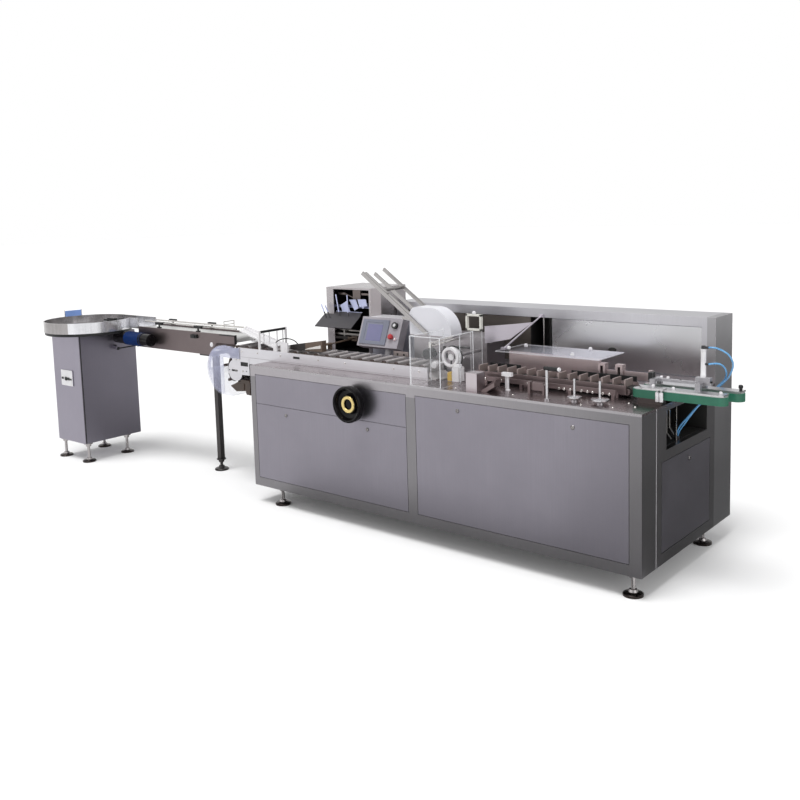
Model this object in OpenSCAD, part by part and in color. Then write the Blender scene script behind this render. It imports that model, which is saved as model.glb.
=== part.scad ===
// Automatic cartoner with leaflet folder, bucket infeed, transfer conveyor and rotary infeed table.
// Units are millimetres, +Z is up, +X is the direction of travel, -Y is the operator side.
// Positions are worked out from the left end of the base's front face and then moved so that
// the origin lies on the floor, in the middle of the overall footprint.

/* [Cartoner base] */
// Length of the base along the direction of travel
base_l = 2569; // [2400:1:2800]
// Depth of the table from the front face to the rear cabinet
base_d = 842; // [780:1:920]
// Depth of the rear cabinet
rear_d = 231; // [180:1:300]
// Height of the table top above the cabinet underside
base_h = 750; // [700:1:800]
// Height of the cabinet underside above the floor
foot_h = 110; // [80:1:140]
// Height of the rear cabinet above the table top
rear_h = 335; // [280:1:400]
// Distance from the left end of the base to the raised part of the rear cabinet
rear_x = 482; // [475:1:520]
// Thickness of the table plate
table_t = 12; // [8:1:16]

/* [Access panels] */
// Thickness of the lift-off panels
panel_t = 8; // [5:1:12]
// Shadow gap round a panel
panel_gap = 3; // [2:0.5:5]
// Width of the left pair of front panels
panel_left_w = 1184; // [1120:1:1190]
// Height of the upper left front panel
panel_upper_h = 177; // [165:1:200]
// Diameter of a quarter-turn lock
lock_d = 22; // [16:1:30]

/* [Levelling feet] */
// Diameter of a foot pad
pad_d = 96; // [80:1:110]
// Diameter of a foot spindle
spindle_d = 20; // [16:1:24]

/* [Handwheel] */
// Outer diameter of the handwheel
wheel_d = 205; // [180:1:225]
// Diameter of the handwheel shaft
wheel_shaft_d = 25; // [20:1:30]
// Radial running clearance of the handwheel shaft
wheel_fit = 0.05; // [0.02:0.01:0.1]

/* [Bucket infeed] */
// Overhang of the infeed rails to the left of the base
infeed_over = 306; // [280:1:340]
// Distance from the front face to the front rail
infeed_y = 170; // [150:1:190]
// Clear width between the infeed rails
infeed_w = 216; // [200:1:224]
// Height of the infeed rails above the table
infeed_rail_h = 65; // [55:1:75]
// Radius of the inner face of the bucket chain on its sprockets
chain_r = 79; // [70:1:84]
// Pitch of the bucket walls along the chain
bucket_pitch = 90; // [80:1:110]
// Height of a bucket wall above the chain
bucket_h = 51; // [40:1:54]

/* [Transfer conveyor] */
// Width of the transfer conveyor frame
transfer_w = 200; // [180:1:220]
// Height of the transfer conveyor side plates
transfer_h = 150; // [130:1:170]
// Height of the transfer belt surface above the table top
transfer_rise = 112; // [104:1:120]

/* [Rotary infeed table] */
// Width of the rotary table cabinet
rotary_w = 360; // [330:1:390]
// Depth of the rotary table cabinet
rotary_d = 476; // [450:1:500]
// Drop from the transfer belt to the top of the rotary table cabinet
rotary_drop = 37; // [32:1:44]
// Outer radius of the tray
tray_r = 315; // [305:1:322]
// Clearance between the turning disc and the tray wall
disc_gap = 9; // [6:1:14]

/* [Leaflet folder] */
// Width of the folder housing
folder_w = 380; // [350:1:380]
// Height of the folder housing above the table
folder_h = 435; // [400:1:460]
// Wall thickness of the folder housing
folder_t = 12; // [8:1:16]

/* [Operator panel] */
// Width of the operator panel
hmi_w = 320; // [300:1:330]
// Height of the operator panel along its face
hmi_h = 185; // [170:1:195]
// Tilt of the operator panel from the vertical in degrees
hmi_tilt = 22; // [15:1:28]

/* [Discharge] */
// Overhang of the discharge belts past the right end of the base
discharge_over = 316; // [280:1:340]
// Height of the discharge belts
belt_h = 38; // [34:1:44]
// Half width of one discharge belt unit
belt_r = 35; // [30:1:38]
// Clear gap between the two discharge belts
belt_gap = 50; // [44:1:70]

/* [Air hoses] */
// Outer diameter of an air hose
hose_d = 8; // [6:1:9]

/* [Hidden] */
$fn = 48;
zt = foot_h + base_h;
zr = zt + rear_h;
yb = base_d + rear_d;

// Levels of the transfer belt and of the rotary table cabinet, which stay with the table
transfer_z = zt + transfer_rise;
rotary_h = transfer_z - rotary_drop;

// Rotary table centre and overall extents
rot_x = -1920;
rot_y = 95;
rotary_front = 200;
rotary_foot = 138;
x_min = rot_x - tray_r;
x_max = base_l + discharge_over;
y_min = rot_y - tray_r;
mid_x = (x_min + x_max) / 2;
lock_t = 4;
mid_y = (y_min + yb + lock_t) / 2;

// Panel fields
margin = 45;
low_z = foot_h + 56;
top_z = zt - 55;
left_x1 = margin + panel_left_w;
right_x0 = left_x1 + 68;
right_x1 = base_l - 62;
upper_z0 = top_z - panel_upper_h;
end_y0 = 210;
end_y1 = base_d - 62;
end_z1 = low_z + 428;

// End window
win_y0 = 257;
win_y1 = base_d - 102;
win_z0 = zt - 215;
win_z1 = zt - 30;
win_deep = 400;

// Handwheel
wheel_x = 868;
wheel_z = zt - 137;
wheel_y = -20;

// Infeed
in_y1 = infeed_y + infeed_w + 24;
rail_t = 12;
rail_x1 = 1250;
ledge_h = 9;
chain_t = 12;
spr_x0 = -350;
spr_x1 = 1180;
chain_z = zt + ledge_h - chain_r;
chain_y0 = infeed_y + rail_t + 13;
chain_y1 = in_y1 - rail_t - 13;
reach = chain_r + chain_t + bucket_h;
tun_y0 = infeed_y + 20;
tun_y1 = in_y1 - 20;
tun_x1 = spr_x1 + reach + 8;
tun_z0 = chain_z - reach - 8;
bulb_r = 9;
n_bucket = floor((spr_x1 - spr_x0) / bucket_pitch);

// Transfer conveyor
tr_y0 = 250;
tr_y1 = tr_y0 + transfer_w;
tr_x0 = -1510;
tr_xn = -620;
tr_x1 = -435;
tr_z1 = transfer_z + 12;
tr_z0 = tr_z1 - transfer_h;
tr_t = 8;
belt_t = 3;
tr_r = 22;

// Rotary table levels
tray_z = rotary_h + 23;
disc_z = tray_z + 11;
disc_t = 8;
rim_h = 77;
rim_t = 6;
disc_r = tray_r - rim_t - disc_gap;
exit_w = 118;
exit_y1 = rot_y + tray_r;
exit_y0 = exit_y1 - exit_w;
exit_x1 = tr_x0;

// Leaflet folder
fold_x0 = 90;
fold_x1 = fold_x0 + folder_w;
fold_y0 = 600;
fold_y1 = 950;
fold_z1 = zt + folder_h;
fold_flange = 62;

// Operator panel
hmi_x = 640;
hmi_y = 485;
hmi_z = zt + 185;
hmi_d = 60;

// Carton feeder
feed_x0 = 880;
feed_x1 = 1400;
feed_y0 = 520;
feed_y1 = 700;
feed_z1 = zt + 198;
hood_x0 = 914;
hood_x1 = 1214;
hood_y0 = 440;
hood_y1 = 540;
hood_z1 = feed_z1 + 160;
guard_x0 = 1265;
guard_x1 = 1465;

// Closing section
cover_z = zt + 138;
lane_x0 = 1480;
lane_x1 = 2380;
lane_y0 = 300;
lane_y1 = 380;
loop_r = 14;
loop_t = 6;
loop_z = zt + 28;

// Discharge
unit_y0 = 215;
unit_y1 = unit_y0 + 2 * belt_r + belt_gap;
unit_x0 = 2410;
belt_z0 = zt + 26;
belt_z1 = belt_z0 + belt_h;
plate_t = 8;
green_t = 3;
plate_z1 = belt_z1 + 2 + plate_t;
arm_z0 = zt + 95;
front_short = 30;
arm_z1 = arm_z0 + 13;
lane_mid = unit_y0 + 2 * belt_r + belt_gap / 2;
cyl_x = base_l + 149;
cyl_z1 = arm_z1 + 152;
hose_end_z = win_z0 + 14;
cyl_r = 11;
fit_l = 24;
port_z = arm_z1 + 84;
unit_back = unit_y1 + 2 * belt_r;
gland_x = base_l - 42;
gland_a = unit_back + 55;
gland_b = unit_back + 78;

// Shared helpers
module place() {
  translate([-mid_x, -mid_y, 0]) children();
}

module box(x0, x1, y0, y1, z0, z1) {
  translate([x0, y0, z0]) cube([x1 - x0, y1 - y0, z1 - z0]);
}

module along_y(y0, y1) {
  translate([0, y1, 0]) rotate([90, 0, 0]) linear_extrude(y1 - y0) children();
}

module cyl_y(x, z, r, y0, y1) {
  translate([x, y1, z]) rotate([90, 0, 0]) cylinder(r = r, h = y1 - y0);
}

module cyl_x(y, z, r, x0, x1) {
  translate([x0, y, z]) rotate([0, 90, 0]) cylinder(r = r, h = x1 - x0);
}

module cyl_z(x, y, r, z0, z1) {
  translate([x, y, z0]) cylinder(r = r, h = z1 - z0);
}

module rod(p, q, r) {
  d = q - p;
  translate(p) rotate([0, acos(d[2] / norm(d)), atan2(d[1], d[0])]) cylinder(r = r, h = norm(d));
}

module stadium(x0, x1, z, r) {
  translate([x0, z]) circle(r = r);
  translate([x1, z]) circle(r = r);
  translate([x0, z - r]) square([x1 - x0, 2 * r]);
}

// Base: closed housing with panel recesses, end window, chain tunnel and shaft bore
module base_cabinet() {
  g = panel_gap;
  color("silver") place() difference() {
    box(0, base_l, 0, base_d, foot_h, zt - table_t);
    box(margin - g, left_x1 + g, -1, panel_t, low_z - g, top_z + g);
    box(right_x0 - g, right_x1 + g, -1, panel_t, low_z - g, top_z + g);
    box(base_l - panel_t, base_l + 1, end_y0 - g, end_y1 + g, low_z - g, end_z1 + g);
    box(-1, panel_t, end_y0 - g, end_y1 + g, low_z - g, end_z1 + g);
    box(base_l - win_deep, base_l + 1, win_y0, win_y1, win_z0, win_z1);
    box(-1, tun_x1, tun_y0, tun_y1, tun_z0, zt);
    box(base_l - 2, base_l + 1, 148, 151, foot_h - 1, zt);
    cyl_y(wheel_x, wheel_z, wheel_shaft_d / 2 + wheel_fit, 0, 80);
  }
}

// Lift-off panels: three on the front, one at each end and two on the back
module access_panels() {
  g = panel_gap;
  color("silver") place() {
    difference() {
      box(margin, left_x1, 0, panel_t, upper_z0 + g / 2, top_z);
      cyl_y(wheel_x, wheel_z, wheel_shaft_d / 2 + 8, -1, panel_t + 1);
    }
    box(margin, left_x1, 0, panel_t, low_z, upper_z0 - g / 2);
    box(right_x0, right_x1, 0, panel_t, low_z, top_z);
    box(base_l - panel_t, base_l, end_y0, end_y1, low_z, end_z1);
    box(0, panel_t, end_y0, end_y1, low_z, end_z1);
    box(margin, left_x1, yb - panel_t, yb, low_z, top_z);
    box(right_x0, right_x1, yb - panel_t, yb, low_z, top_z);
  }
}

// Quarter-turn lock: flanged disc with a coin slot, facing -Y
module lock() {
  difference() {
    rotate([90, 0, 0]) rotate_extrude() {
      polygon([[0, 0], [lock_d / 2, 0], [lock_d / 2, 2], [lock_d / 2 - 2, lock_t], [0, lock_t]]);
    }
    translate([-lock_d / 3, -5, -1.5]) cube([2 * lock_d / 3, 3, 3]);
  }
}

module panel_locks() {
  color("gray") place() {
    for (x = [margin + 258, left_x1 - 277]) translate([x, 0, upper_z0 - 47]) lock();
    for (x = [right_x0 + 273, right_x1 - 280]) translate([x, 0, top_z - 47]) lock();
    translate([base_l, end_y0 + 314, end_z1 - 47]) rotate([0, 0, 90]) lock();
    translate([0, end_y0 + 314, end_z1 - 47]) rotate([0, 0, -90]) lock();
    for (x = [margin + 258, left_x1 - 277, right_x0 + 273, right_x1 - 280]) {
      translate([x, yb, top_z - 47]) rotate([0, 0, 180]) lock();
    }
  }
}

// Table plate with the slot through which the bucket chain turns down
module table_top() {
  color("silver") place() difference() {
    box(0, base_l, 0, base_d, zt - table_t, zt);
    box(spr_x1 - 100, tun_x1, tun_y0, tun_y1, zt - table_t - 1, zt + 1);
  }
}

// Rear cabinet: stepped housing with a framed front, a dark slot and rear panel recesses
module rear_cabinet() {
  g = panel_gap;
  color("silver") place() difference() {
    along_y(base_d, yb) polygon([[0, foot_h], [base_l, foot_h], [base_l, zr], [rear_x, zr],
      [rear_x, zt], [0, zt]]);
    box(rear_x + 55, base_l - 70, base_d - 1, base_d + 25, zt + 20, zr - 50);
    box(1487, 1615, base_d, base_d + 145, zt + 60, zr - 50);
    box(margin - g, left_x1 + g, yb - panel_t, yb + 1, low_z - g, top_z + g);
    box(right_x0 - g, right_x1 + g, yb - panel_t, yb + 1, low_z - g, top_z + g);
  }
}

// Two inset sheet panels on the front of the rear cabinet
module rear_inset_panels() {
  y0 = base_d + 10;
  y1 = base_d + 25;
  color("silver") place() {
    box(rear_x + 60, 1480, y0, y1, zt + 25, zr - 55);
    box(1622, base_l - 75, y0, y1, zt + 25, zr - 55);
  }
}

// Levelling foot: pad, collar, spindle and lock nut, one turned outline
module foot(h) {
  r = pad_d / 2;
  s = spindle_d / 2;
  rotate_extrude() polygon([[0, 0], [r, 0], [r, 9], [r - 6, 13], [s + 14, 17], [s + 8, 30], [s, 32],
    [s, h - 24], [s + 9, h - 24], [s + 9, h - 10], [s, h - 10], [s, h - 7], [s + 22, h - 7], [s + 22, h],
    [0, h]]);
}

module levelling_feet() {
  color("gainsboro") place() {
    for (x = [180, base_l - 69]) for (y = [60, base_d + 28]) translate([x, y, 0]) foot(foot_h);
    for (x = [-1, 1]) for (y = [rot_y - rotary_front + 37, rot_y - rotary_front + rotary_d - 113]) {
      translate([rot_x + x * (rotary_w / 2 - 25), y, 0]) foot(rotary_foot);
    }
  }
}

// Handwheel: dished disc with a rounded rim, turned on its shaft
module handwheel() {
  r = wheel_d / 2;
  s = wheel_shaft_d / 2;
  color([0.08, 0.08, 0.08]) place() translate([wheel_x, wheel_y, wheel_z]) rotate([90, 0, 0]) {
    difference() {
      union() {
        rotate_extrude() polygon([[s - 1, 0], [40, 0], [46, 6], [r - 8, 10], [r - 2, 15], [r, 22],
          [r, 50], [r - 3, 57], [r - 9, 60], [r - 15, 57], [r - 19, 48], [r - 25, 34], [54, 25], [50, 38],
          [28, 38], [28, 32], [0, 32], [0, 5]]);
        translate([0, 0, -92]) cylinder(r = s, h = 98);
      }
    }
  }
}

// Bright ring of the position indicator in the hub
module handwheel_ring() {
  color("gold") place() translate([wheel_x, wheel_y - 38, wheel_z]) rotate([90, 0, 0]) {
    rotate_extrude() polygon([[29, 0], [48, 0], [48, 3], [45, 6], [32, 6], [29, 3]]);
  }
}

// Infeed rails: angle profiles whose ledges carry the bucket chain
module infeed_rails() {
  z1 = zt + infeed_rail_h;
  zl = zt + ledge_h;
  color("whitesmoke") place() {
    difference() {
      union() {
        box(-infeed_over, rail_x1, infeed_y, infeed_y + rail_t, zt, z1);
        box(-infeed_over, 1070, infeed_y + rail_t, infeed_y + rail_t + 23, zt, zl);
      }
      box(205, 262, infeed_y - 1, infeed_y + 6, zt + 32, zt + 46);
    }
    box(-infeed_over, rail_x1, in_y1 - rail_t, in_y1, zt, z1);
    box(-infeed_over, 1070, in_y1 - rail_t - 23, in_y1 - rail_t, zt, zl);
  }
}

// Bucket wall with a rounded lip, standing on the outside of the chain
module bucket() {
  translate([-3, chain_t - 1]) square([6, bucket_h - bulb_r + 1]);
  translate([0, chain_t + bucket_h - bulb_r]) circle(r = bulb_r);
}

// Bucket chain: one closed loop with its walls all the way round
module infeed_chain() {
  color([0.2, 0.16, 0.14]) place() along_y(chain_y0, chain_y1) difference() {
    union() {
      stadium(spr_x0, spr_x1, chain_z, chain_r + chain_t);
      for (i = [0 : n_bucket]) translate([spr_x0 + i * bucket_pitch, chain_z + chain_r]) bucket();
      for (i = [0 : n_bucket]) {
        translate([spr_x0 + i * bucket_pitch, chain_z - chain_r]) rotate(180) bucket();
      }
      for (a = [45, 90, 135]) translate([spr_x0, chain_z]) rotate(a) translate([0, chain_r]) bucket();
      for (a = [60, 120]) translate([spr_x1, chain_z]) rotate(-a) translate([0, chain_r]) bucket();
    }
    stadium(spr_x0, spr_x1, chain_z, chain_r);
  }
}

// Toothed wheels and shafts at the two ends of the bucket chain
module sprocket_set(x, y0, y1) {
  cyl_y(x, chain_z, 12, y0, y1);
  for (y = [chain_y0 + 20, chain_y1 - 38]) difference() {
    cyl_y(x, chain_z, chain_r - 0.3, y, y + 18);
    for (a = [0 : 60 : 300]) {
      cyl_y(x + 46 * cos(a), chain_z + 46 * sin(a), 15, y - 1, y + 19);
    }
  }
}

module infeed_sprockets() {
  color("gray") place() {
    sprocket_set(spr_x0, infeed_y + rail_t, in_y1 - rail_t);
    sprocket_set(spr_x1, tun_y0, tun_y1);
  }
}

// End plates below the rails with tension slot, bolt holes and a round bearing cover
module end_plate(y0, y1) {
  along_y(y0, y1) difference() {
    union() {
      translate([spr_x0 - 64, chain_z - 42]) square([209, 40]);
      translate([spr_x0 - 20, chain_z - 30]) square([165, zt - chain_z + 30]);
      translate([spr_x0 + 7, chain_z - 18]) circle(r = 70);
    }
    translate([spr_x0 - 29, chain_z - 26]) square([57, 13]);
    translate([spr_x0 - 50, chain_z - 19]) circle(r = 5);
    translate([spr_x0 + 117, chain_z - 17]) circle(r = 5);
    translate([spr_x0 + 62, chain_z + 15]) square([72, 27]);
  }
}

module infeed_end_plates() {
  color("gainsboro") place() {
    end_plate(infeed_y, infeed_y + rail_t);
    end_plate(in_y1 - rail_t, in_y1);
  }
}

// Clear guard round the left end of the bucket chain
module infeed_end_guard() {
  r = reach + 21;
  gx = spr_x0 - 110;
  gz = chain_z - 27;
  color([0.8, 0.85, 0.95, 0.4]) place() {
    along_y(infeed_y - 6, in_y1 + 6) difference() {
      intersection() {
        stadium(gx, gx + 400, gz, r);
        translate([gx - r, gz - r]) square([r + 90, r]);
      }
      stadium(gx, gx + 400, gz, r - 5);
    }
    along_y(infeed_y - 6, infeed_y + 20) difference() {
      intersection() {
        stadium(gx, gx + 400, gz, r);
        translate([gx - r, gz - 1]) square([r + 90, r + 1]);
      }
      stadium(gx, gx + 400, gz, r - 5);
    }
    along_y(infeed_y - 6, infeed_y) {
      intersection() {
        stadium(gx, gx + 400, gz, r - 5);
        translate([gx - r, gz - r]) square([r + 2, 2 * r]);
      }
      translate([gx + 1, zt - 10]) square([spr_x0 + 58 - gx - 1, 70]);
    }
  }
}

// Sloping guide rods under a cross bar, which lead the products down into the buckets, and two blocks
module product_guides() {
  z0 = zt + infeed_rail_h;
  zb = zt + 175;
  color("gainsboro") place() {
    for (y = [infeed_y, in_y1 - rail_t]) box(-107, -97, y, y + rail_t, z0, zb + 10);
    cyl_y(-102, zb, 7, infeed_y + 2, in_y1 - 2);
    for (g = [[215, -330, -15], [262, -379, -60], [328, -420, -92], [378, -455, -96]]) {
      y = infeed_y + g[0] - 170;
      z = zt + 82 + 88 * (g[2] + 102) / (g[2] - g[1]);
      rod([g[1], y, zt + 170], [g[2], y, zt + 82], 4);
      cyl_z(-102, y, 4, z, zb);
    }
    box(tr_x1, 26 - infeed_over, in_y1 - rail_t, tr_y1, z0, z0 + 8);
    box(30, 60, infeed_y, infeed_y + rail_t, z0, z0 + 52);
    box(97, 157, infeed_y, infeed_y + rail_t, z0, z0 + 60);
  }
}

// Hold-down over the buckets: wedge box on a bracket from the rear rail
module product_holddown() {
  z0 = zt + infeed_rail_h;
  color([0.15, 0.12, 0.11]) place() {
    along_y(infeed_y + 50, infeed_y + 88) {
      polygon([[130, z0 + 12], [408, z0 + 16], [408, z0 + 84], [130, z0 + 40]]);
    }
    box(280, 310, infeed_y + 87, in_y1, z0 + 30, z0 + 42);
    box(280, 310, in_y1 - rail_t, in_y1, z0, z0 + 31);
    rod([345, infeed_y + 86, z0 + 40], [320, fold_y0 + 1, z0 + 46], 5);
    box(300, 345, fold_y0 + 0.5, fold_y0 + 8, z0 + 30, z0 + 62);
    box(fold_x0 + fold_flange, 301, fold_y0 + 1, fold_y0 + 7, z0 + 38, z0 + 54);
  }
}

// Transfer conveyor frame: two shaped side plates joined by the slider bed
module transfer_side(y0, y1) {
  along_y(y0, y1) difference() {
    polygon([[tr_x0, tr_z0], [tr_xn - 75, tr_z0], [tr_xn, tr_z1 - 60], [tr_x1, tr_z1 - 60],
      [tr_x1, tr_z1], [tr_x0, tr_z1]]);
    translate([tr_xn - 54, tr_z1 - 78]) circle(r = 13);
  }
}

module transfer_frame() {
  zc = transfer_z - tr_r;
  color([0.62, 0.58, 0.55]) place() {
    transfer_side(tr_y0, tr_y0 + tr_t);
    transfer_side(tr_y1 - tr_t, tr_y1);
    along_y(tr_y0 + tr_t, tr_y1 - tr_t) stadium(tr_x0 + 40, tr_x1 - 30, zc, tr_r - belt_t);
    box(tr_x0 + 150, tr_x0 + 190, tr_y0 + tr_t, tr_y1 - tr_t, tr_z0, tr_z0 + 20);
    box(tr_x0, tr_x0 + 8, tr_y0 + tr_t, tr_y1 - tr_t, tr_z0, tr_z0 + 70);
    box(rot_x + rotary_w / 2, tr_x0, tr_y0 + 12, tr_y0 + 38, tr_z0 + 10, tr_z0 + 50);
  }
}

module transfer_belt() {
  zc = transfer_z - tr_r;
  color([0.25, 0.25, 0.24]) place() along_y(tr_y0 + tr_t + 6, tr_y1 - tr_t - 6) difference() {
    stadium(tr_x0 + 40, tr_x1 - 30, zc, tr_r);
    stadium(tr_x0 + 40, tr_x1 - 30, zc, tr_r - belt_t);
  }
}

// Rail clamps and the two product guide rods over the transfer conveyor
module transfer_guide(y, side) {
  zg = tr_z1 + 34;
  cyl_x(y - side * 46, zg, 5, tr_x0 + 10, tr_x1 - 40);
  for (x = side > 0 ? [-1346, -896] : [-1267, -823]) {
    box(x - 14, x + 14, y - 10, y + 10, tr_z1, tr_z1 + 8);
    cyl_z(x, y, 6, tr_z1 + 7, tr_z1 + 25);
    box(x - 38, x + 38, y - 9, y + 9, tr_z1 + 24, tr_z1 + 42);
    cyl_y(x, zg, 4, min(y, y - side * 46), max(y, y - side * 46));
  }
}

module transfer_guides() {
  color([0.12, 0.12, 0.12]) place() {
    transfer_guide(tr_y0 + 10, -1);
    transfer_guide(tr_y1 - 10, 1);
  }
}

// Leg of the transfer conveyor: cross plate, square tube and levelling foot
module transfer_leg() {
  color("gainsboro") place() {
    box(-808, -708, tr_y0, tr_y1, tr_z0 - 10, tr_z0);
    translate([-758, (tr_y0 + tr_y1) / 2, 0]) {
      translate([-18, -18, 79]) cube([36, 36, tr_z0 - 89]);
      foot(80);
    }
  }
}

// Geared motor of the transfer conveyor, hung in front of the side plate
module transfer_motor() {
  y0 = tr_y0 - 55;
  z0 = tr_z1 - 83;
  color([0.05, 0.25, 0.65]) place() {
    cyl_x(y0, z0, 48, -1580, -1370);
    cyl_x(y0, z0, 43, -1370, -1285);
    cyl_x(y0, z0, 43, -1695, -1580);
    box(-1470, -1390, y0 + 20, tr_y0, z0 - 24, z0 + 24);
  }
}

// Rotary table cabinet with a switch plate and a clamp lever on its right side
module rotary_cabinet() {
  w = rotary_w / 2;
  d = rotary_front;
  color("silver") place() difference() {
    union() {
      translate([rot_x - w, rot_y - d, rotary_foot]) cube([rotary_w, rotary_d, rotary_h - rotary_foot]);
      translate([rot_x - 77, rot_y - d - 4, rotary_h - 375]) cube([150, 5, 115]);
      cyl_z(rot_x, rot_y, 150, rotary_h - 1, tray_z);
      cyl_x(rot_y + 95, rotary_h - 112, 16, rot_x + w - 1, rot_x + w + 40);
    }
    cyl_z(rot_x, rot_y, 20.05, rotary_h - 90, tray_z + 1);
    translate([rot_x + w - 2, rot_y - d + 12, 119]) cube([3, 3, rotary_h]);
  }
}

// Tray: floor, rolled rim and the straight walls of the tangential exit
module tray_wall_2d(r0, r1) {
  difference() {
    translate([rot_x, rot_y]) circle(r = r1);
    translate([rot_x, rot_y]) circle(r = r0);
  }
}

module exit_2d() {
  translate([rot_x, exit_y0]) square([exit_x1 - rot_x, exit_w]);
}

module rotary_tray() {
  z1 = tray_z + rim_h;
  color("gainsboro") place() {
    difference() {
      translate([0, 0, tray_z]) linear_extrude(6) union() {
        translate([rot_x, rot_y]) circle(r = tray_r);
        exit_2d();
      }
      cyl_z(rot_x, rot_y, 26, tray_z - 1, tray_z + 7);
    }
    translate([0, 0, tray_z + 6]) linear_extrude(rim_h - 6) union() {
      difference() {
        tray_wall_2d(tray_r - rim_t, tray_r);
        translate([rot_x, exit_y0 + rim_t]) square([exit_x1 - rot_x, exit_w - rim_t + 1]);
      }
      translate([rot_x, exit_y1 - rim_t]) square([exit_x1 - rot_x, rim_t]);
      difference() {
        translate([rot_x, exit_y0]) square([exit_x1 - rot_x - 62, rim_t]);
        translate([rot_x, rot_y]) circle(r = tray_r - rim_t);
      }
    }
    translate([0, 0, tray_z + 6]) linear_extrude(disc_z + disc_t - tray_z - 6) difference() {
      translate([rot_x, exit_y0 + rim_t]) square([exit_x1 - rot_x, exit_w - 2 * rim_t]);
      translate([rot_x, rot_y]) circle(r = tray_r - rim_t);
    }
  }
}

// Turning disc with its spindle
module rotary_disc() {
  color("gainsboro") place() translate([rot_x, rot_y, 0]) {
    rotate_extrude() polygon([[0, rotary_h - 80], [20, rotary_h - 80], [20, disc_z], [disc_r - 2, disc_z],
      [disc_r, disc_z + 2], [disc_r, disc_z + disc_t - 1], [disc_r - 1, disc_z + disc_t],
      [0, disc_z + disc_t]]);
  }
}

// Plough above the disc on an arm from the rim, and a blue screen plate on the rim
module tray_fittings() {
  zp = disc_z + disc_t + 6;
  z1 = tray_z + rim_h;
  color([0.2, 0.35, 0.7]) place() {
    translate([0, 0, zp]) linear_extrude(30) intersection() {
      union() {
        difference() {
          tray_wall_2d(150, 158);
          translate([rot_x - 400, rot_y - 500]) square([800, 480]);
          translate([rot_x - 420, rot_y - 100]) square([400, 400]);
        }
        translate([rot_x - 28, rot_y + 149]) square([12, tray_r]);
      }
      translate([rot_x, rot_y]) circle(r = tray_r - rim_t);
    }
    translate([rot_x, rot_y, z1]) rotate([0, 0, 169]) {
      translate([tray_r - rim_t - 7, -62, 0]) cube([rim_t, 124, 44]);
    }
  }
}

// Leaflet folder: open fronted housing of bent sheet
module folder_housing() {
  t = folder_t;
  color("silver") place() {
    difference() {
      box(fold_x0, fold_x1, fold_y0, fold_y1, zt, fold_z1);
      box(fold_x0 + t, fold_x1 - t, fold_y0 + 8, fold_y1 - t, zt + t, fold_z1 - t);
      box(fold_x0 + fold_flange, fold_x1 - t, fold_y0 - 1, fold_y0 + 9, zt + t, fold_z1 - t);
    }
  }
}

// Sloping feed plate, fold plates and their cross bar inside the folder
module folder_plates() {
  x0 = fold_x0 + folder_t;
  x1 = fold_x1 - folder_t;
  xf = fold_x0;
  color([0.72, 0.76, 0.88]) place() {
    translate([xf - 16, fold_y0 - 100, zt + 186]) rotate([36, 0, 0]) {
      cube([316, 122, 5]);
      translate([16 + fold_flange, 100, 0]) cube([230, 52, 5]);
    }
    rod([xf + 28, fold_y0 - 35, zt + 236], [xf - 12, fold_y0 - 40, zt + 325], 4);
    rod([xf + 62, fold_y0 - 35, zt + 236], [xf + 24, fold_y0 - 40, zt + 318], 4);
    rod([xf + 124, fold_y0 - 15, zt + 251], [xf + 84, fold_y0, zt + 388], 4);
    rod([xf + 200, fold_y0 - 15, zt + 251], [xf + 183, fold_y0, zt + 388], 4);
    box(x0, x1, fold_y0 + 60, fold_y0 + 75, zt + 300, zt + 315);
    along_y(fold_y0 + 15, fold_y0 + 20) {
      translate([xf, zt]) polygon([[108, 319], [162, 347], [193, 267], [128, 267]]);
      translate([xf, zt]) polygon([[185, 357], [241, 360], [264, 306], [229, 289]]);
      translate([xf, zt]) polygon([[258, 361], [327, 364], [339, 322], [273, 313]]);
    }
    for (x = [140, 228]) box(xf + x, xf + x + 18, fold_y0 + 19, fold_y0 + 61, zt + 300, zt + 315);
    box(xf + 290, xf + 308, fold_y0 + 19, fold_y0 + 61, zt + 305, zt + 332);
    box(x0, x1, fold_y0 + 22, fold_y0 + 34, zt + 126, zt + 138);
    box(x0, x1, fold_y0 + 40, fold_y0 + 50, zt + 150, zt + 158);
    box(xf + 120, xf + 134, fold_y0 + 22, fold_y0 + 50, zt + 95, zt + 156);
  }
}

// Operator panel: tilted box on two posts
module hmi_frame() {
  translate([hmi_x, hmi_y, hmi_z]) rotate([-hmi_tilt, 0, 0]) children();
}

module hmi_body() {
  hmi_frame() translate([-hmi_w / 2, 0, -hmi_h / 2]) cube([hmi_w, hmi_d, hmi_h]);
}

module operator_panel() {
  color("lightgray") place() {
    hmi_body();
    for (x = [hmi_x - 110, hmi_x + 30]) difference() {
      cyl_z(x, hmi_y + 40, 12, zt, hmi_z);
      hmi_body();
    }
  }
}

// Touch screen: bezel with a sunk screen field
module operator_screen() {
  color([0.35, 0.36, 0.5]) place() hmi_frame() difference() {
    translate([-hmi_w / 2 + 16, -6, -hmi_h / 2 + 14]) cube([208, 6, hmi_h - 30]);
    translate([-hmi_w / 2 + 44, -7, -hmi_h / 2 + 34]) cube([140, 3, hmi_h - 66]);
  }
}

// Rotary switch, emergency mushroom and push buttons
module operator_buttons() {
  color([0.7, 0.1, 0.1]) place() hmi_frame() rotate([90, 0, 0]) {
    translate([hmi_w / 2 - 46, 46, 0]) cylinder(r = 20, h = 16);
    translate([hmi_w / 2 - 58, -26, 0]) rotate_extrude() {
      polygon([[0, 0], [12, 0], [12, 8], [17, 12], [17, 19], [13, 24], [0, 26]]);
    }
    translate([hmi_w / 2 - 26, -36, 0]) cylinder(r = 9, h = 8);
  }
}

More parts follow.
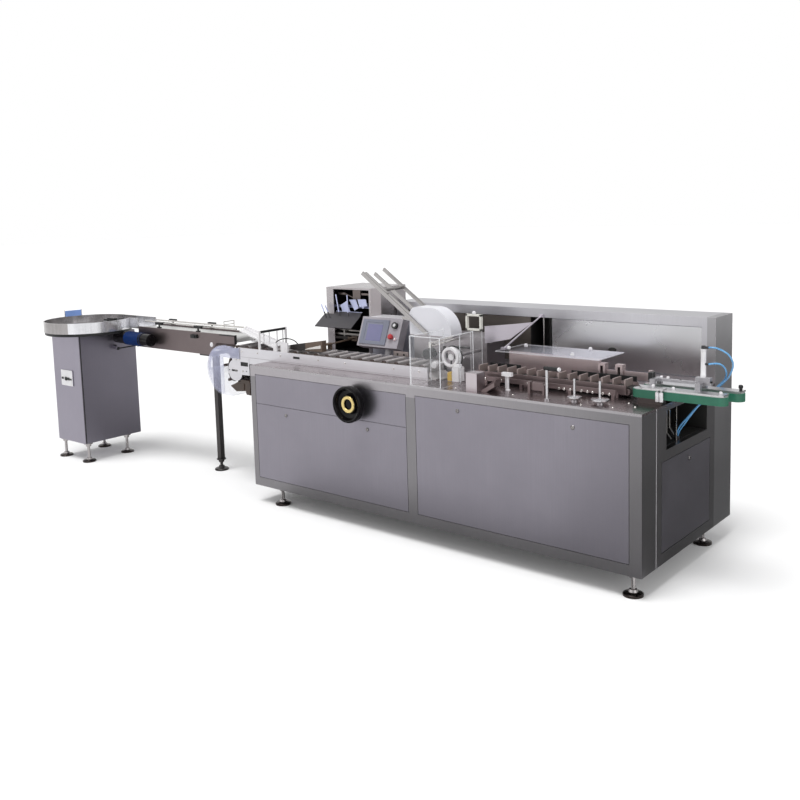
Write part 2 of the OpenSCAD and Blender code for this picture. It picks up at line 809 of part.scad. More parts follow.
// Inclined carton magazine rails
module magazine_rails() {
  color("gainsboro") place() {
    along_y(424, 435) translate([0, feed_z1]) polygon([[572, 358], [1063, 12], [1040, 2], [558, 340]]);
    along_y(512, 523) translate([0, feed_z1]) {
      polygon([[516, 349], [hood_x0, 75], [hood_x0, 49], [504, 331]]);
    }
    for (b = [[599, -8], [684, 14]]) along_y(b[0], b[0] + 11) translate([0, feed_z1]) {
      polygon([[516, 349 + b[1]], [1023 + 1.45 * b[1], 0], [985 + 1.45 * b[1], 0], [504, 331 + b[1]]]);
    }
    along_y(512, 695) translate([656, feed_z1 + 242]) circle(r = 9);
    rod([690, 430, feed_z1 + 262], [690, 517, feed_z1 + 216], 6);
    box(806, hood_x0, 500, 511, zt + 271, zt + 288);
  }
}

// White hood over the carton feeder: hollow cover with a rounded shoulder
module hood_2d(o) {
  difference() {
    union() {
      translate([hood_x0 + o, feed_z1 - 1]) square([hood_x1 - hood_x0 - 2 * o, 20 - o]);
      translate([hood_x0 + o, feed_z1]) square([60, 110]);
      translate([hood_x0 + 50, feed_z1 + 110]) circle(r = 50 - o);
      translate([hood_x0 + 50, feed_z1]) square([101, 160 - o]);
      translate([hood_x0 + 150, feed_z1 + 10]) intersection() {
        circle(r = 150 - o);
        square([200, 200]);
      }
    }
    translate([hood_x0 - 50, feed_z1 - 10]) square([600, 10]);
  }
}

module feeder_hood() {
  color("white") place() difference() {
    along_y(hood_y0, hood_y1) hood_2d(0);
    along_y(hood_y0 + 6, hood_y1 - 6) difference() {
      hood_2d(6);
      translate([0, feed_z1 + 400]) square([1, 1]);
    }
  }
}

// Carton feeder: housing below the hood with drum, feed disc and their shafts
module carton_feeder() {
  color("silver") place() {
    box(feed_x0, feed_x1, feed_y0, feed_y1, zt, feed_z1);
    box(hood_x0, hood_x1, hood_y0, hood_y1, feed_z1 - 6, feed_z1);
    cyl_y(1194, zt + 127, 10, 290, feed_y0 + 1);
    cyl_y(1194, zt + 127, 30, 235, 292);
    cyl_y(1351, zt + 122, 9, 268, feed_y0 + 1);
    difference() {
      cyl_y(1351, zt + 122, 54, 240, 270);
      cyl_y(1351, zt + 122, 41, 239, 252);
    }
    box(1395, 1440, 196, 246, zt, zt + 78);
    box(1358, 1386, 205, 235, zt, zt + 46);
    box(1598, 1665, 40, 110, zt, zt + 92);
  }
}

// Clear guards: three-sided cover on the table edge, inner screen and a small square frame with a knob
module clear_guards() {
  top = zt + 263;
  color([0.85, 0.9, 0.95, 0.4]) place() {
    box(guard_x0, guard_x1, 2, 6, zt, top);
    for (g = [[guard_x0, 88], [guard_x1 - 4, 50]]) {
      box(g[0], g[0] + 4, 6, infeed_y + 10, zt, top);
      box(g[0], g[0] + 4, infeed_y + 10, infeed_y + 130, zt + g[1], top);
    }
    box(1366, 1444, 410, 414, zt, zt + 250);
    difference() {
      box(1342, 1444, 404, 420, zt + 250, zt + 340);
      box(1352, 1434, 403, 421, zt + 260, zt + 330);
    }
    cyl_z(1393, 412, 7, zt + 340, zt + 356);
  }
}

// Curved guide sheet on the feeder, and the stay rod from the cover plate to the rear cabinet
module trough_sheet() {
  intersection() {
    difference() {
      cyl_z(1400, 900, 400, zt + 150, zt + 320);
      cyl_z(1400, 900, 396, zt + 149, zt + 321);
    }
    along_y(480, 680) polygon([[1401, zt + 168], [1548, zt + 198], [1657, zt + 290], [1401, zt + 264]]);
  }
}

module guide_trough() {
  color("lightsteelblue") place() {
    trough_sheet();
    box(feed_x1, feed_x1 + 40, feed_y0 - 16, feed_y0 + 4, zt + 172, zt + 192);
    rod([1527, 500, cover_z + 11], [1560, base_d - 4, zr - 42], 5);
    box(1514, 1540, 488, 512, cover_z + 5, cover_z + 17);
    box(1546, 1574, base_d - 10, base_d, zr - 50, zr - 32);
  }
}

// Clear cover plate over the closing section with two knobs
module closing_cover() {
  color([0.85, 0.9, 0.95, 0.5]) place() {
    box(1509, 2130, 440, 722, cover_z, cover_z + 5);
    cyl_z(1580, 640, 9, cover_z + 5, cover_z + 22);
    cyl_z(1960, 480, 9, cover_z + 5, cover_z + 22);
  }
}

// Carton lane: slider bed, guide rails, back plate and bracket blocks
module carton_lane() {
  color([0.6, 0.56, 0.54]) place() {
    box(1560, 2110, 500, 508, zt, cover_z);
    for (y = [lane_y0 - 28, lane_y1 + 16]) {
      box(lane_x0 + 20, lane_x1 - 20, y, y + 12, zt + 18, zt + 60);
      for (x = [1540, 1790, 2040, 2290]) box(x, x + 30, y, y + 12, zt, zt + 18);
    }
    along_y(lane_y0 - 16, lane_y1 + 16) stadium(lane_x0 + 20, lane_x1 - 20, loop_z, loop_r);
    for (x = [2128, 2222]) difference() {
      box(x, x + 40, 436, 472, zt, zt + 128);
      box(x + 13, x + 27, 435, 460, zt + 62, zt + 116);
    }
    box(2168, 2222, 448, 462, zt + 60, zt + 96);
    box(2262, 2394, 448, 456, zt + 58, zt + 98);
    box(2394, 2412, 440, 464, zt, zt + 112);
    box(1903, 1916, 136, 164, zt, zt + 60);
    box(1916, 1984, 146, 154, zt + 18, zt + 56);
    box(1984, 1994, 140, 160, zt, zt + 48);
    along_y(60, 112) polygon([[1668, zt], [1708, zt], [1756, zt + 30], [1756, zt + 52]]);
    along_y(122, 172) polygon([[1632, zt], [1672, zt], [1722, zt + 30], [1722, zt + 52]]);
    box(1550, 2330, 226, 234, zt + 20, zt + 44);
    for (x = [1560, 1800, 2080, 2310]) box(x, x + 16, 222, 238, zt, zt + 20);
  }
}

// Lug chain: one closed loop round the slider bed
module lug_chain() {
  ro = loop_r + loop_t;
  color([0.2, 0.19, 0.18]) place() along_y(lane_y0, lane_y1) difference() {
    union() {
      stadium(lane_x0 + 20, lane_x1 - 20, loop_z, ro);
      for (x = [lane_x0 + 20 : 60 : lane_x1 - 20]) translate([x - 4, loop_z]) square([8, ro + 36]);
    }
    stadium(lane_x0 + 20, lane_x1 - 20, loop_z, loop_r);
  }
}

// Lane adjusters: two disc wheels on threaded spindles and a T-handle
module adjuster(x, y, r, h) {
  translate([x, y, zt]) rotate_extrude() polygon([[0, 0], [16, 0], [16, 6], [6, 8], [6, 17], [r, 17],
    [r, 23], [8, 25], [6, 26], [6, h], [0, h]]);
}

module lane_adjusters() {
  color("gainsboro") place() {
    adjuster(2183, 99, 34, 106);
    adjuster(2313, 104, 42, 106);
    translate([2062, 53, zt]) {
      cylinder(r = 14, h = 8);
      cylinder(r = 7, h = 146);
      translate([-12, 0, 152]) rotate([0, 90, 0]) cylinder(r = 9, h = 84);
    }
    cyl_z(1779, 150, 12, zt, zt + 6);
    cyl_z(1779, 150, 6, zt + 5, zt + 74);
    box(1754, 1804, 140, 160, zt + 73, zt + 92);
    cyl_z(1738, 196, 6, zt, zt + 64);
    box(1716, 1760, 186, 206, zt + 63, zt + 82);
  }
}

// Discharge units: core, foot and top plate of each belt
module unit_2d(y, o) {
  x1 = unit_end(y);
  translate([unit_x0 + belt_r, y + belt_r]) circle(r = belt_r - o);
  translate([x1 - belt_r, y + belt_r]) circle(r = belt_r - o);
  translate([unit_x0 + belt_r, y + o]) square([x1 - unit_x0 - 2 * belt_r, 2 * (belt_r - o)]);
}

function unit_end(y) = y == unit_y0 ? x_max - front_short : x_max;

module discharge_frames() {
  color("gainsboro") place() for (y = [unit_y0, unit_y1]) {
    translate([0, 0, belt_z0]) linear_extrude(belt_h + 2) unit_2d(y, green_t);
    box(unit_x0 + 35, base_l - 10, y + 12, y + 2 * belt_r - 12, zt, belt_z0);
    translate([0, 0, belt_z1 + 2]) linear_extrude(plate_t) polygon([[unit_x0 + 60, y + 2],
      [unit_end(y) - 8, y + 2], [unit_end(y) - 8, y + 2 * belt_r - 2], [unit_x0 + 10, y + 2 * belt_r - 2]]);
    if (y == unit_y0) guide_rollers(y - 13);
  }
}

// Pair of upright guide rollers in front of the first belt, hung from its top plate
module guide_rollers(y) {
  z = plate_z1;
  box(base_l - 34, base_l + 12, y - 8, y + 30, z, z + 6);
  for (x = [base_l - 21, base_l - 2]) {
    cyl_z(x, y, 3, belt_z1 - 3, z + 1);
    cyl_z(x, y, 8, zt + 20, belt_z1 - 2);
  }
}

module discharge_belts() {
  color([0.05, 0.45, 0.3]) place() for (y = [unit_y0, unit_y1]) {
    translate([0, 0, belt_z0]) linear_extrude(belt_h) difference() {
      unit_2d(y, 0);
      unit_2d(y, green_t);
    }
  }
}

// Ejector: arm across the two top plates with an upright air cylinder
module ejector() {
  color("whitesmoke") place() {
    box(base_l - 86, cyl_x + 40, lane_mid - 10, lane_mid + 10, arm_z0, arm_z1);
    for (x = [base_l - 86, cyl_x - 20]) {
      box(x, x + 24, lane_mid - belt_gap / 2 - 22, lane_mid + belt_gap / 2 + 22, arm_z0, arm_z1);
      for (y = [lane_mid - belt_gap / 2 - 22, lane_mid + belt_gap / 2 + 4]) {
        box(x, x + 24, y, y + 18, plate_z1, arm_z0 + 1);
      }
    }
    box(cyl_x - 30, cyl_x + 36, lane_mid - 15, lane_mid + 15, arm_z1, arm_z1 + 22);
    cyl_z(cyl_x, lane_mid, cyl_r, arm_z1 + 21, cyl_z1);
    box(base_l - 108, base_l - 86, lane_mid - 14, lane_mid + 14, arm_z0, arm_z1 + 24);
  }
}

// Hose fittings: two elbows on the cylinder and two glands in the end window
module hose_fittings() {
  color([0.06, 0.06, 0.07]) place() {
    cyl_z(cyl_x, lane_mid, 9, cyl_z1, cyl_z1 + 15);
    cyl_x(lane_mid, cyl_z1 + 7, 6, cyl_x, cyl_x + fit_l);
    difference() {
      cyl_x(lane_mid, port_z, 6, cyl_x, cyl_x + fit_l);
      cyl_z(cyl_x, lane_mid, cyl_r, arm_z1, cyl_z1);
    }
    for (y = [gland_a, gland_b]) cyl_z(gland_x, y, 8, win_z0, hose_end_z);
  }
}

// Air hoses: smooth paths from the cylinder to the glands in the end window
hose_a = [[cyl_x + fit_l, lane_mid, cyl_z1 + 7], [cyl_x + 58, lane_mid + 3, cyl_z1 + 7],
  [cyl_x + 103, lane_mid + 20, cyl_z1 - 18], [cyl_x + 117, lane_mid + 45, cyl_z1 - 61],
  [cyl_x + 106, lane_mid + 65, cyl_z1 - 97], [cyl_x + 81, unit_back - 4, zt + 123],
  [cyl_x + 58, unit_back + 10, zt + 99], [cyl_x + 34, unit_back + 20, zt + 75],
  [cyl_x - 15, unit_back + 26, zt + 30], [cyl_x - 61, unit_back + 30, zt - 19],
  [cyl_x - 93, unit_back + 35, zt - 54], [cyl_x - 125, unit_back + 40, zt - 93],
  [gland_x + 33, gland_a - 9, zt - 131], [gland_x + 10, gland_a - 3, zt - 166],
  [gland_x, gland_a, hose_end_z]];
hose_b = [[cyl_x + fit_l, lane_mid, port_z], [cyl_x + 48, lane_mid + 4, port_z + 4],
  [cyl_x + 69, lane_mid + 18, port_z + 2], [cyl_x + 80, lane_mid + 42, port_z - 16],
  [cyl_x + 79, lane_mid + 68, port_z - 40], [cyl_x + 68, unit_back + 2, zt + 128],
  [cyl_x + 51, unit_back + 27, zt + 102], [cyl_x + 20, unit_back + 42, zt + 73],
  [cyl_x - 23, unit_back + 50, zt + 26], [cyl_x - 68, unit_back + 54, zt - 22],
  [cyl_x - 100, unit_back + 59, zt - 60], [cyl_x - 131, unit_back + 64, zt - 102],
  [gland_x + 33, gland_b - 9, zt - 141], [gland_x + 10, gland_b - 3, zt - 172],
  [gland_x, gland_b, hose_end_z]];

function unit(v) = v / norm(v);
function spline(a, b, c, d, t) = 0.5 * (2 * b + (c - a) * t + (2 * a - 5 * b + 4 * c - d) * t * t
  + (3 * b - a - 3 * c + d) * t * t * t);
function at(p, i) = p[max(0, min(len(p) - 1, i))];
function smooth(p, n) = [for (i = [0 : len(p) - 2]) for (k = [0 : n - 1])
  spline(at(p, i - 1), p[i], p[i + 1], at(p, i + 2), k / n), p[len(p) - 1]];
function heading(q, i) = i == 0 ? [1, 0, 0] : i == len(q) - 1 ? [0, 0, -1] : unit(q[i + 1] - q[i - 1]);
function ring(q, i, r, n) = let (t = heading(q, i), u = unit(cross(t, [0, 1, 0])), v = cross(t, u))
  [for (j = [0 : n - 1]) q[i] + r * (cos(360 * j / n) * u + sin(360 * j / n) * v)];

module hose(p, r) {
  n = 10;
  q = smooth(p, 2);
  m = len(q);
  pts = [for (i = [0 : m - 1]) each ring(q, i, r, n)];
  side = [for (i = [0 : m - 2]) for (j = [0 : n - 1]) each [
    [i * n + j, (i + 1) * n + j, i * n + (j + 1) % n],
    [i * n + (j + 1) % n, (i + 1) * n + j, (i + 1) * n + (j + 1) % n]]];
  polyhedron(points = pts, faces = concat(side, [[for (j = [0 : n - 1]) j]],
    [[for (j = [n - 1 : -1 : 0]) (m - 1) * n + j]]));
}

module air_hose_outer() {
  color([0.2, 0.5, 0.8]) place() hose(hose_a, hose_d / 2);
}

module air_hose_inner() {
  color([0.2, 0.5, 0.8]) place() hose(hose_b, hose_d / 2);
}

base_cabinet();
access_panels();
panel_locks();
table_top();
rear_cabinet();
rear_inset_panels();
levelling_feet();
handwheel();
handwheel_ring();
infeed_rails();
infeed_chain();
infeed_sprockets();
infeed_end_plates();
infeed_end_guard();
product_guides();
product_holddown();
transfer_frame();
transfer_belt();
transfer_guides();
transfer_leg();
transfer_motor();
rotary_cabinet();
rotary_tray();
rotary_disc();
tray_fittings();
folder_housing();
folder_plates();
operator_panel();
operator_screen();
operator_buttons();
magazine_rails();
feeder_hood();
carton_feeder();
clear_guards();
guide_trough();
closing_cover();
carton_lane();
lug_chain();
lane_adjusters();
discharge_frames();
discharge_belts();
ejector();
hose_fittings();
air_hose_outer();
air_hose_inner();
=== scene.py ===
import math

import bmesh
import bpy
from mathutils import Matrix, Vector


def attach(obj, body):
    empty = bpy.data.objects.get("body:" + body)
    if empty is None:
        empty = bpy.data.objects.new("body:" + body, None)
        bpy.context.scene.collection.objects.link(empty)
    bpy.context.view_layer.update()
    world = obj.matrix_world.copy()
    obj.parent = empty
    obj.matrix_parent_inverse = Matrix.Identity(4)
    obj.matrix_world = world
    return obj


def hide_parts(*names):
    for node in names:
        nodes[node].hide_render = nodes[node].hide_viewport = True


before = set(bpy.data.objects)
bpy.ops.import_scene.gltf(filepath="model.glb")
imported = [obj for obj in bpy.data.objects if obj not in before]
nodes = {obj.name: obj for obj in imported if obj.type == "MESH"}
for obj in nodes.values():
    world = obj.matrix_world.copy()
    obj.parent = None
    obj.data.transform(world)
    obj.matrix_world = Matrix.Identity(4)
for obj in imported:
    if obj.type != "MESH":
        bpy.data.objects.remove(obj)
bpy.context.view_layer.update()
scene = bpy.context.scene
scene.view_settings.view_transform = "Standard"


# Camera
# Stands at eye height to the front right of the machine and looks slightly down along it.
middle_x, middle_y = 0.325, 0.4285


def at(x, y, z):
    """A point of the machine, in the shared frame, whose origin is the middle of the footprint."""
    return Vector((x / 1000 - middle_x, y / 1000 - middle_y, z / 1000))


turn, dip, lean = (math.radians(a) for a in (39.9037, 6.7854, -1.6888))
right = Vector((math.cos(turn), math.sin(turn), 0))
back = Vector((math.sin(turn) * math.cos(dip), -math.cos(turn) * math.cos(dip), math.sin(dip)))
up = back.cross(right)
level = right * math.cos(lean) + up * math.sin(lean)
upright = up * math.cos(lean) - right * math.sin(lean)
camera = bpy.data.objects.new("camera", bpy.data.cameras.new("camera"))
camera.data.lens = 41.696
camera.data.sensor_width = 36
camera.data.shift_y = -0.1
eye = at(4311.1, -3709, 1778.8)
camera.matrix_world = Matrix.Translation(eye) @ Matrix((level, upright, back)).transposed().to_4x4()
scene.collection.objects.link(camera)
scene.camera = camera

# Studio
# White floor and white surroundings; the main lamp stands high, with softer lamps in front and on the right.
# Grey cards on the floor, which only shiny steel mirrors, give the lower parts of the sheets their dark tone.
studio = bpy.data.worlds.new("studio")
scene.world = studio
studio.use_nodes = True
sky = studio.node_tree
sky.nodes.clear()


def node(tree, kind, links=(), **settings):
    """A shader node with its settings, its inputs linked or set by (input, value)."""
    made = tree.nodes.new("ShaderNode" + kind)
    for key, value in settings.items():
        setattr(made, key, value)
    for key, value in links:
        if isinstance(value, bpy.types.NodeSocket):
            tree.links.new(value, made.inputs[key])
        else:
            made.inputs[key].default_value = value
    return made


way = node(sky, "SeparateXYZ", [(0, node(sky, "TexCoord").outputs["Generated"])])
sides = node(sky, "MapRange",
             [("Value", way.outputs["X"]), ("From Min", -1.0), ("From Max", 1.0), ("To Min", 1.0), ("To Max", 0.35)])
ray = node(sky, "LightPath")
seen = node(sky, "Math", [(0, ray.outputs["Is Camera Ray"]), (1, ray.outputs["Is Transmission Ray"])],
            operation="MAXIMUM")
fill = node(sky, "Mix", [("Factor", ray.outputs["Is Glossy Ray"]), ("A", 0.5), ("B", sides.outputs[0])])
level_out = node(sky, "Mix", [("Factor", seen.outputs[0]), ("A", fill.outputs[0]), ("B", 1.0)])
backdrop = node(sky, "Background", [("Color", (1, 1, 1, 1)), ("Strength", level_out.outputs[0])])
node(sky, "OutputWorld", [("Surface", backdrop.outputs[0])])


def sun(name, strength, spread, toward):
    """A soft distant lamp that shines along a direction."""
    lamp = bpy.data.lights.new(name, "SUN")
    lamp.energy = strength
    lamp.angle = math.radians(spread)
    holder = bpy.data.objects.new(name, lamp)
    holder.rotation_euler = Vector(toward).to_track_quat("-Z", "Y").to_euler()
    scene.collection.objects.link(holder)
    return holder


lamps = [sun("main_lamp", 1.85, 26, (0.04, 0.3, -1.0)), sun("front_lamp", 0.4, 60, (0.5, 0.8, -0.5)),
         sun("side_lamp", 0.7, 50, (-0.9, 0.2, -0.4))]


def ground(name, corners, z):
    """A flat four-sided sheet of the studio, with an empty node material."""
    mesh = bpy.data.meshes.new(name)
    mesh.from_pydata([(x, y, z) for x, y in corners], [], [(0, 1, 2, 3)])
    sheet = bpy.data.objects.new(name, mesh)
    scene.collection.objects.link(sheet)
    mat = bpy.data.materials.new(name)
    mat.use_nodes = True
    mat.node_tree.nodes.clear()
    mesh.materials.append(mat)
    return sheet, mat.node_tree


floor, lit = ground("studio_floor", [(-60, -60), (60, -60), (60, 60), (-60, 60)], -0.0005)
ray = node(lit, "LightPath")
floor_glow = 0.04
matt = node(lit, "BsdfDiffuse", [("Color", (0.9, 0.9, 0.9, 1))])
faint = node(lit, "Math", [(0, ray.outputs["Is Camera Ray"]), (1, floor_glow)], operation="MULTIPLY")
glow = node(lit, "Emission", [("Color", (1, 1, 1, 1)), ("Strength", faint.outputs[0])])
both = node(lit, "AddShader", [(0, matt.outputs[0]), (1, glow.outputs[0])])
node(lit, "OutputMaterial", [("Surface", both.outputs[0])])
for name, tone, corners in (("end_card", 0.12, [(2.3, -0.2), (9.0, -0.2), (9.0, 9.0), (2.3, 9.0)]),
                            ("front_card", 0.36, [(0.7, -4.0), (2.3, -4.0), (2.3, -0.7), (1.6, -0.7)]),
                            ("low_card", 0.24, [(-0.3, -0.95), (2.24, -0.95), (2.24, -0.43), (-0.3, -0.43)]),
                            ("rotary_card", 0.34, [(-1.95, -0.25), (-0.45, -0.25), (-0.45, 1.6), (-1.95, 1.6)])):
    card, dim = ground(name, corners, 0.0004)
    unseen = node(dim, "BsdfTransparent")
    dark = node(dim, "BsdfDiffuse", [("Color", (tone, tone, tone, 1))])
    only = node(dim, "LightPath").outputs["Is Glossy Ray"]
    chosen = node(dim, "MixShader", [(0, only), (1, unseen.outputs[0]), (2, dark.outputs[0])])
    node(dim, "OutputMaterial", [("Surface", chosen.outputs[0])])


# Air hoses
# Two blue polyurethane hoses of 8 mm from the air cylinder to the glands in the end window.
# Each is one curve through the points of its path; they hang free between their two ends.
def group(name, inputs, outputs):
    """A shader effect with named sockets; gives the tree, its inputs and its outputs."""
    tree = bpy.data.node_groups.new(name, "ShaderNodeTree")
    for label, kind, value in inputs:
        socket = tree.interface.new_socket(name=label, in_out="INPUT", socket_type="NodeSocket" + kind)
        socket.default_value = value
    for label, kind in outputs:
        tree.interface.new_socket(name=label, in_out="OUTPUT", socket_type="NodeSocket" + kind)
    return tree, tree.nodes.new("NodeGroupInput").outputs, tree.nodes.new("NodeGroupOutput").inputs


# Cloudy marks: handling, dust and uneven gloss, as a mask and a fine height
marks, given, out = group("cloudy_marks", [("Size", "Float", 6.0)], [("Mask", "Float"), ("Height", "Float")])
spot = node(marks, "TexCoord")
cloud = node(marks, "TexNoise",
             [("Vector", spot.outputs["Object"]), ("Scale", given["Size"]), ("Detail", 5.0), ("Roughness", 0.6)])
marks.links.new(node(marks, "MapRange",
                     [("Value", cloud.outputs["Fac"]), ("From Min", 0.32), ("From Max", 0.7)]).outputs[0],
                out["Mask"])
finer = node(marks, "Math", [(0, given["Size"]), (1, 38.0)], operation="MULTIPLY")
grit = node(marks, "TexNoise", [("Vector", spot.outputs["Object"]), ("Scale", finer.outputs[0]), ("Detail", 2.0)])
marks.links.new(grit.outputs["Fac"], out["Height"])

# Edge wear: a mask along the edges of the solids, from how far a small rounding turns the face
wear, given, out = group("edge_wear", [("Radius", "Float", 0.003)], [("Mask", "Float")])
rounded = node(wear, "Bevel", [("Radius", given["Radius"])], samples=4)
flatness = node(wear, "VectorMath", [(0, rounded.outputs[0]), (1, node(wear, "NewGeometry").outputs["Normal"])],
                operation="DOT_PRODUCT")
edge = node(wear, "MapRange", [("Value", flatness.outputs["Value"]), ("From Min", 0.995), ("From Max", 0.8)])
wear.links.new(edge.outputs[0], out["Mask"])


def effect(tree, kind, **values):
    """One of the shared effects, placed in a material."""
    used = tree.nodes.new("ShaderNodeGroup")
    used.node_tree = kind
    for key, value in values.items():
        used.inputs[key].default_value = value
    return used.outputs


def mixed(tree, factor, a, b):
    """A colour between two others."""
    factor_in, a_in, b_in, colour_out = 0, 6, 7, 2
    mix = node(tree, "Mix", data_type="RGBA")
    for key, value in ((factor_in, factor), (a_in, a), (b_in, b)):
        if isinstance(value, bpy.types.NodeSocket):
            tree.links.new(value, mix.inputs[key])
        else:
            mix.inputs[key].default_value = value if key == factor_in else (*value, 1)
    return mix.outputs[colour_out]


def coated(name, colour, dark, edge_colour, rough=(0.4, 0.55), metal=0.0, size=6.0, bump=0.05, radius=0.002, **plain):
    """A plastic, paint, rubber or cast finish: cloudy colour, uneven gloss, fine bump and worn edges."""
    mat = bpy.data.materials.new(name)
    mat.use_nodes = True
    tree = mat.node_tree
    shader = tree.nodes["Principled BSDF"]
    shader.inputs["Metallic"].default_value = metal
    for key, value in plain.items():
        shader.inputs[key.replace("_", " ")].default_value = value
    cloudy = effect(tree, marks, Size=size)
    worn = effect(tree, wear, Radius=radius)
    base = mixed(tree, cloudy["Mask"], colour, dark)
    tree.links.new(mixed(tree, worn["Mask"], base, edge_colour), shader.inputs["Base Color"])
    gloss = node(tree, "MapRange", [("Value", cloudy["Mask"]), ("To Min", rough[0]), ("To Max", rough[1])])
    tree.links.new(gloss.outputs[0], shader.inputs["Roughness"])
    relief = node(tree, "Bump", [("Strength", bump), ("Distance", 0.001), ("Height", cloudy["Height"])])
    tree.links.new(relief.outputs[0], shader.inputs["Normal"])
    return mat


def smooth_path(points):
    """A smooth line through the points, with one more point halfway along each span."""
    line = []
    for i in range(len(points) - 1):
        a, b, c, d = (points[max(0, min(len(points) - 1, i + k))] for k in (-1, 0, 1, 2))
        bend, swing = 2 * a - 5 * b + 4 * c - d, 3 * b - a - 3 * c + d
        for t in (0.0, 0.5):
            line.append(0.5 * (2 * b + (c - a) * t + bend * t * t + swing * t**3))
    return line + [points[-1]]


hose_blue = coated("hose_blue", (0.13, 0.38, 0.68), (0.10, 0.31, 0.60), (0.2, 0.46, 0.74), (0.18, 0.3), size=14.0,
                   Coat_Weight=0.4)
outer_hose = [(2742, 310, 1127), (2776, 313, 1127), (2821, 330, 1102), (2835, 355, 1059), (2824, 375, 1023),
              (2799, 401, 983), (2776, 415, 959), (2752, 425, 935), (2703, 431, 890), (2657, 435, 841),
              (2625, 440, 806), (2593, 445, 767), (2560, 451, 729), (2537, 457, 694), (2527, 460, 659)]
inner_hose = [(2742, 310, 1052), (2766, 314, 1056), (2787, 328, 1054), (2798, 352, 1036), (2797, 378, 1012),
              (2786, 407, 988), (2769, 432, 962), (2738, 447, 933), (2695, 455, 886), (2650, 459, 838),
              (2618, 464, 800), (2587, 469, 758), (2560, 474, 719), (2537, 480, 688), (2527, 483, 659)]
for title, corners in (("air_hose_outer", outer_hose), ("air_hose_inner", inner_hose)):
    path = smooth_path([at(*p) for p in corners])
    curve = bpy.data.curves.new(title, "CURVE")
    curve.dimensions = "3D"
    curve.bevel_depth = 0.004
    curve.bevel_resolution = 4
    curve.use_fill_caps = True
    spline = curve.splines.new("POLY")
    spline.points.add(len(path) - 1)
    for point, place in zip(spline.points, path):
        point.co = (*place, 1)
    curve.materials.append(hose_blue)
    hose = bpy.data.objects.new(title + "_tube", curve)
    scene.collection.objects.link(hose)
    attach(hose, "machine")
    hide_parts(title)


# Base cabinet
# Closed frame of brushed stainless sheet; the grain runs upright and the edges are broken by hand.
# A light bead of sealant fills the upright joint in its right end.
brushed, given, out = group("brushed_grain", [("Stretch", "Vector", (300.0, 300.0, 4.0))],
                            [("Tone", "Float"), ("Height", "Float")])
spot = node(brushed, "TexCoord")
stretched = node(brushed, "VectorMath", [(0, spot.outputs["Object"]), (1, given["Stretch"])], operation="MULTIPLY")
grain = node(brushed, "TexNoise",
             [("Vector", stretched.outputs[0]), ("Scale", 1.0), ("Detail", 4.0), ("Roughness", 0.65)])
brushed.links.new(node(brushed, "MapRange",
                       [("Value", grain.outputs["Fac"]), ("From Min", 0.3), ("From Max", 0.7)]).outputs[0],
                  out["Tone"])
brushed.links.new(grain.outputs["Fac"], out["Height"])


def steel(name, tone, rough=(0.3, 0.42), stretch=(300.0, 300.0, 4.0), bump=0.05, size=3.0, edge_wear_and_glint=1.35,
          radius=0.0025, metal=1.0, beyond=None, streak=(1.04, 0.95), fade=None):
    """Brushed metal: faint streaks along the grain, cloudy gloss and handled edges, lightened by wear and, where the
    factor is high, as a painted highlight.

    beyond = (axis, level, tone) gives the part past a level a tone of its own, which several sheets here use as
    painted light and shade, streak the light and dark of the grain; fade = (axis, start, end) lets the second tone
    run out."""
    mat = bpy.data.materials.new(name)
    mat.use_nodes = True
    tree = mat.node_tree
    shader = tree.nodes["Principled BSDF"]
    shader.inputs["Metallic"].default_value = metal
    streaks = effect(tree, brushed, Stretch=stretch)
    cloudy = effect(tree, marks, Size=size)
    worn = effect(tree, wear, Radius=radius)
    dulled = 0.97
    shades = []
    for shade in (tone,) + ((beyond[2],) if beyond else ()):
        lined = mixed(tree, streaks["Tone"], tuple(min(1.0, c * streak[0]) for c in shade),
                      tuple(c * streak[1] for c in shade))
        shades.append(mixed(tree, cloudy["Mask"], lined, tuple(c * dulled for c in shade)))
    base = shades[0]
    if beyond:
        along = node(tree, "SeparateXYZ", [(0, node(tree, "TexCoord").outputs["Object"])]).outputs
        past = node(tree, "Math", [(0, along[beyond[0]]), (1, beyond[1])], operation="GREATER_THAN").outputs[0]
        if fade:
            less = node(tree, "MapRange",
                        [("Value", along[fade[0]]), ("From Min", fade[1]), ("From Max", fade[2]), ("To Min", 1.0),
                         ("To Max", 0.0)])
            past = node(tree, "Math", [(0, past), (1, less.outputs[0])], operation="MULTIPLY").outputs[0]
        base = mixed(tree, past, *shades)
    bright = tuple(min(1.0, c * edge_wear_and_glint) for c in tone)
    tree.links.new(mixed(tree, worn["Mask"], base, bright), shader.inputs["Base Color"])
    gloss = node(tree, "MapRange", [("Value", cloudy["Mask"]), ("To Min", rough[0]), ("To Max", rough[1])])
    tree.links.new(gloss.outputs[0], shader.inputs["Roughness"])
    relief = node(tree, "Bump", [("Strength", bump), ("Distance", 0.0006), ("Height", streaks["Height"])])
    tree.links.new(relief.outputs[0], shader.inputs["Normal"])
    return mat


def dress(mat, *names):
    """The CAD nodes take this finish in all their slots."""
    for name in names:
        slots = nodes[name].data.materials
        if not slots:
            slots.append(mat)
        for i in range(len(slots)):
            slots[i] = mat


def block(x0, x1, y0, y1, z0, z1):
    """An upright block."""
    points = [(x, y, z) for x in (x0, x1) for y in (y0, y1) for z in (z0, z1)]
    return points, [(0, 1, 3, 2), (4, 6, 7, 5), (0, 4, 5, 1), (2, 3, 7, 6), (0, 2, 6, 4), (1, 5, 7, 3)]


bevel_angle, smooth_angle = 0.7, 0.6


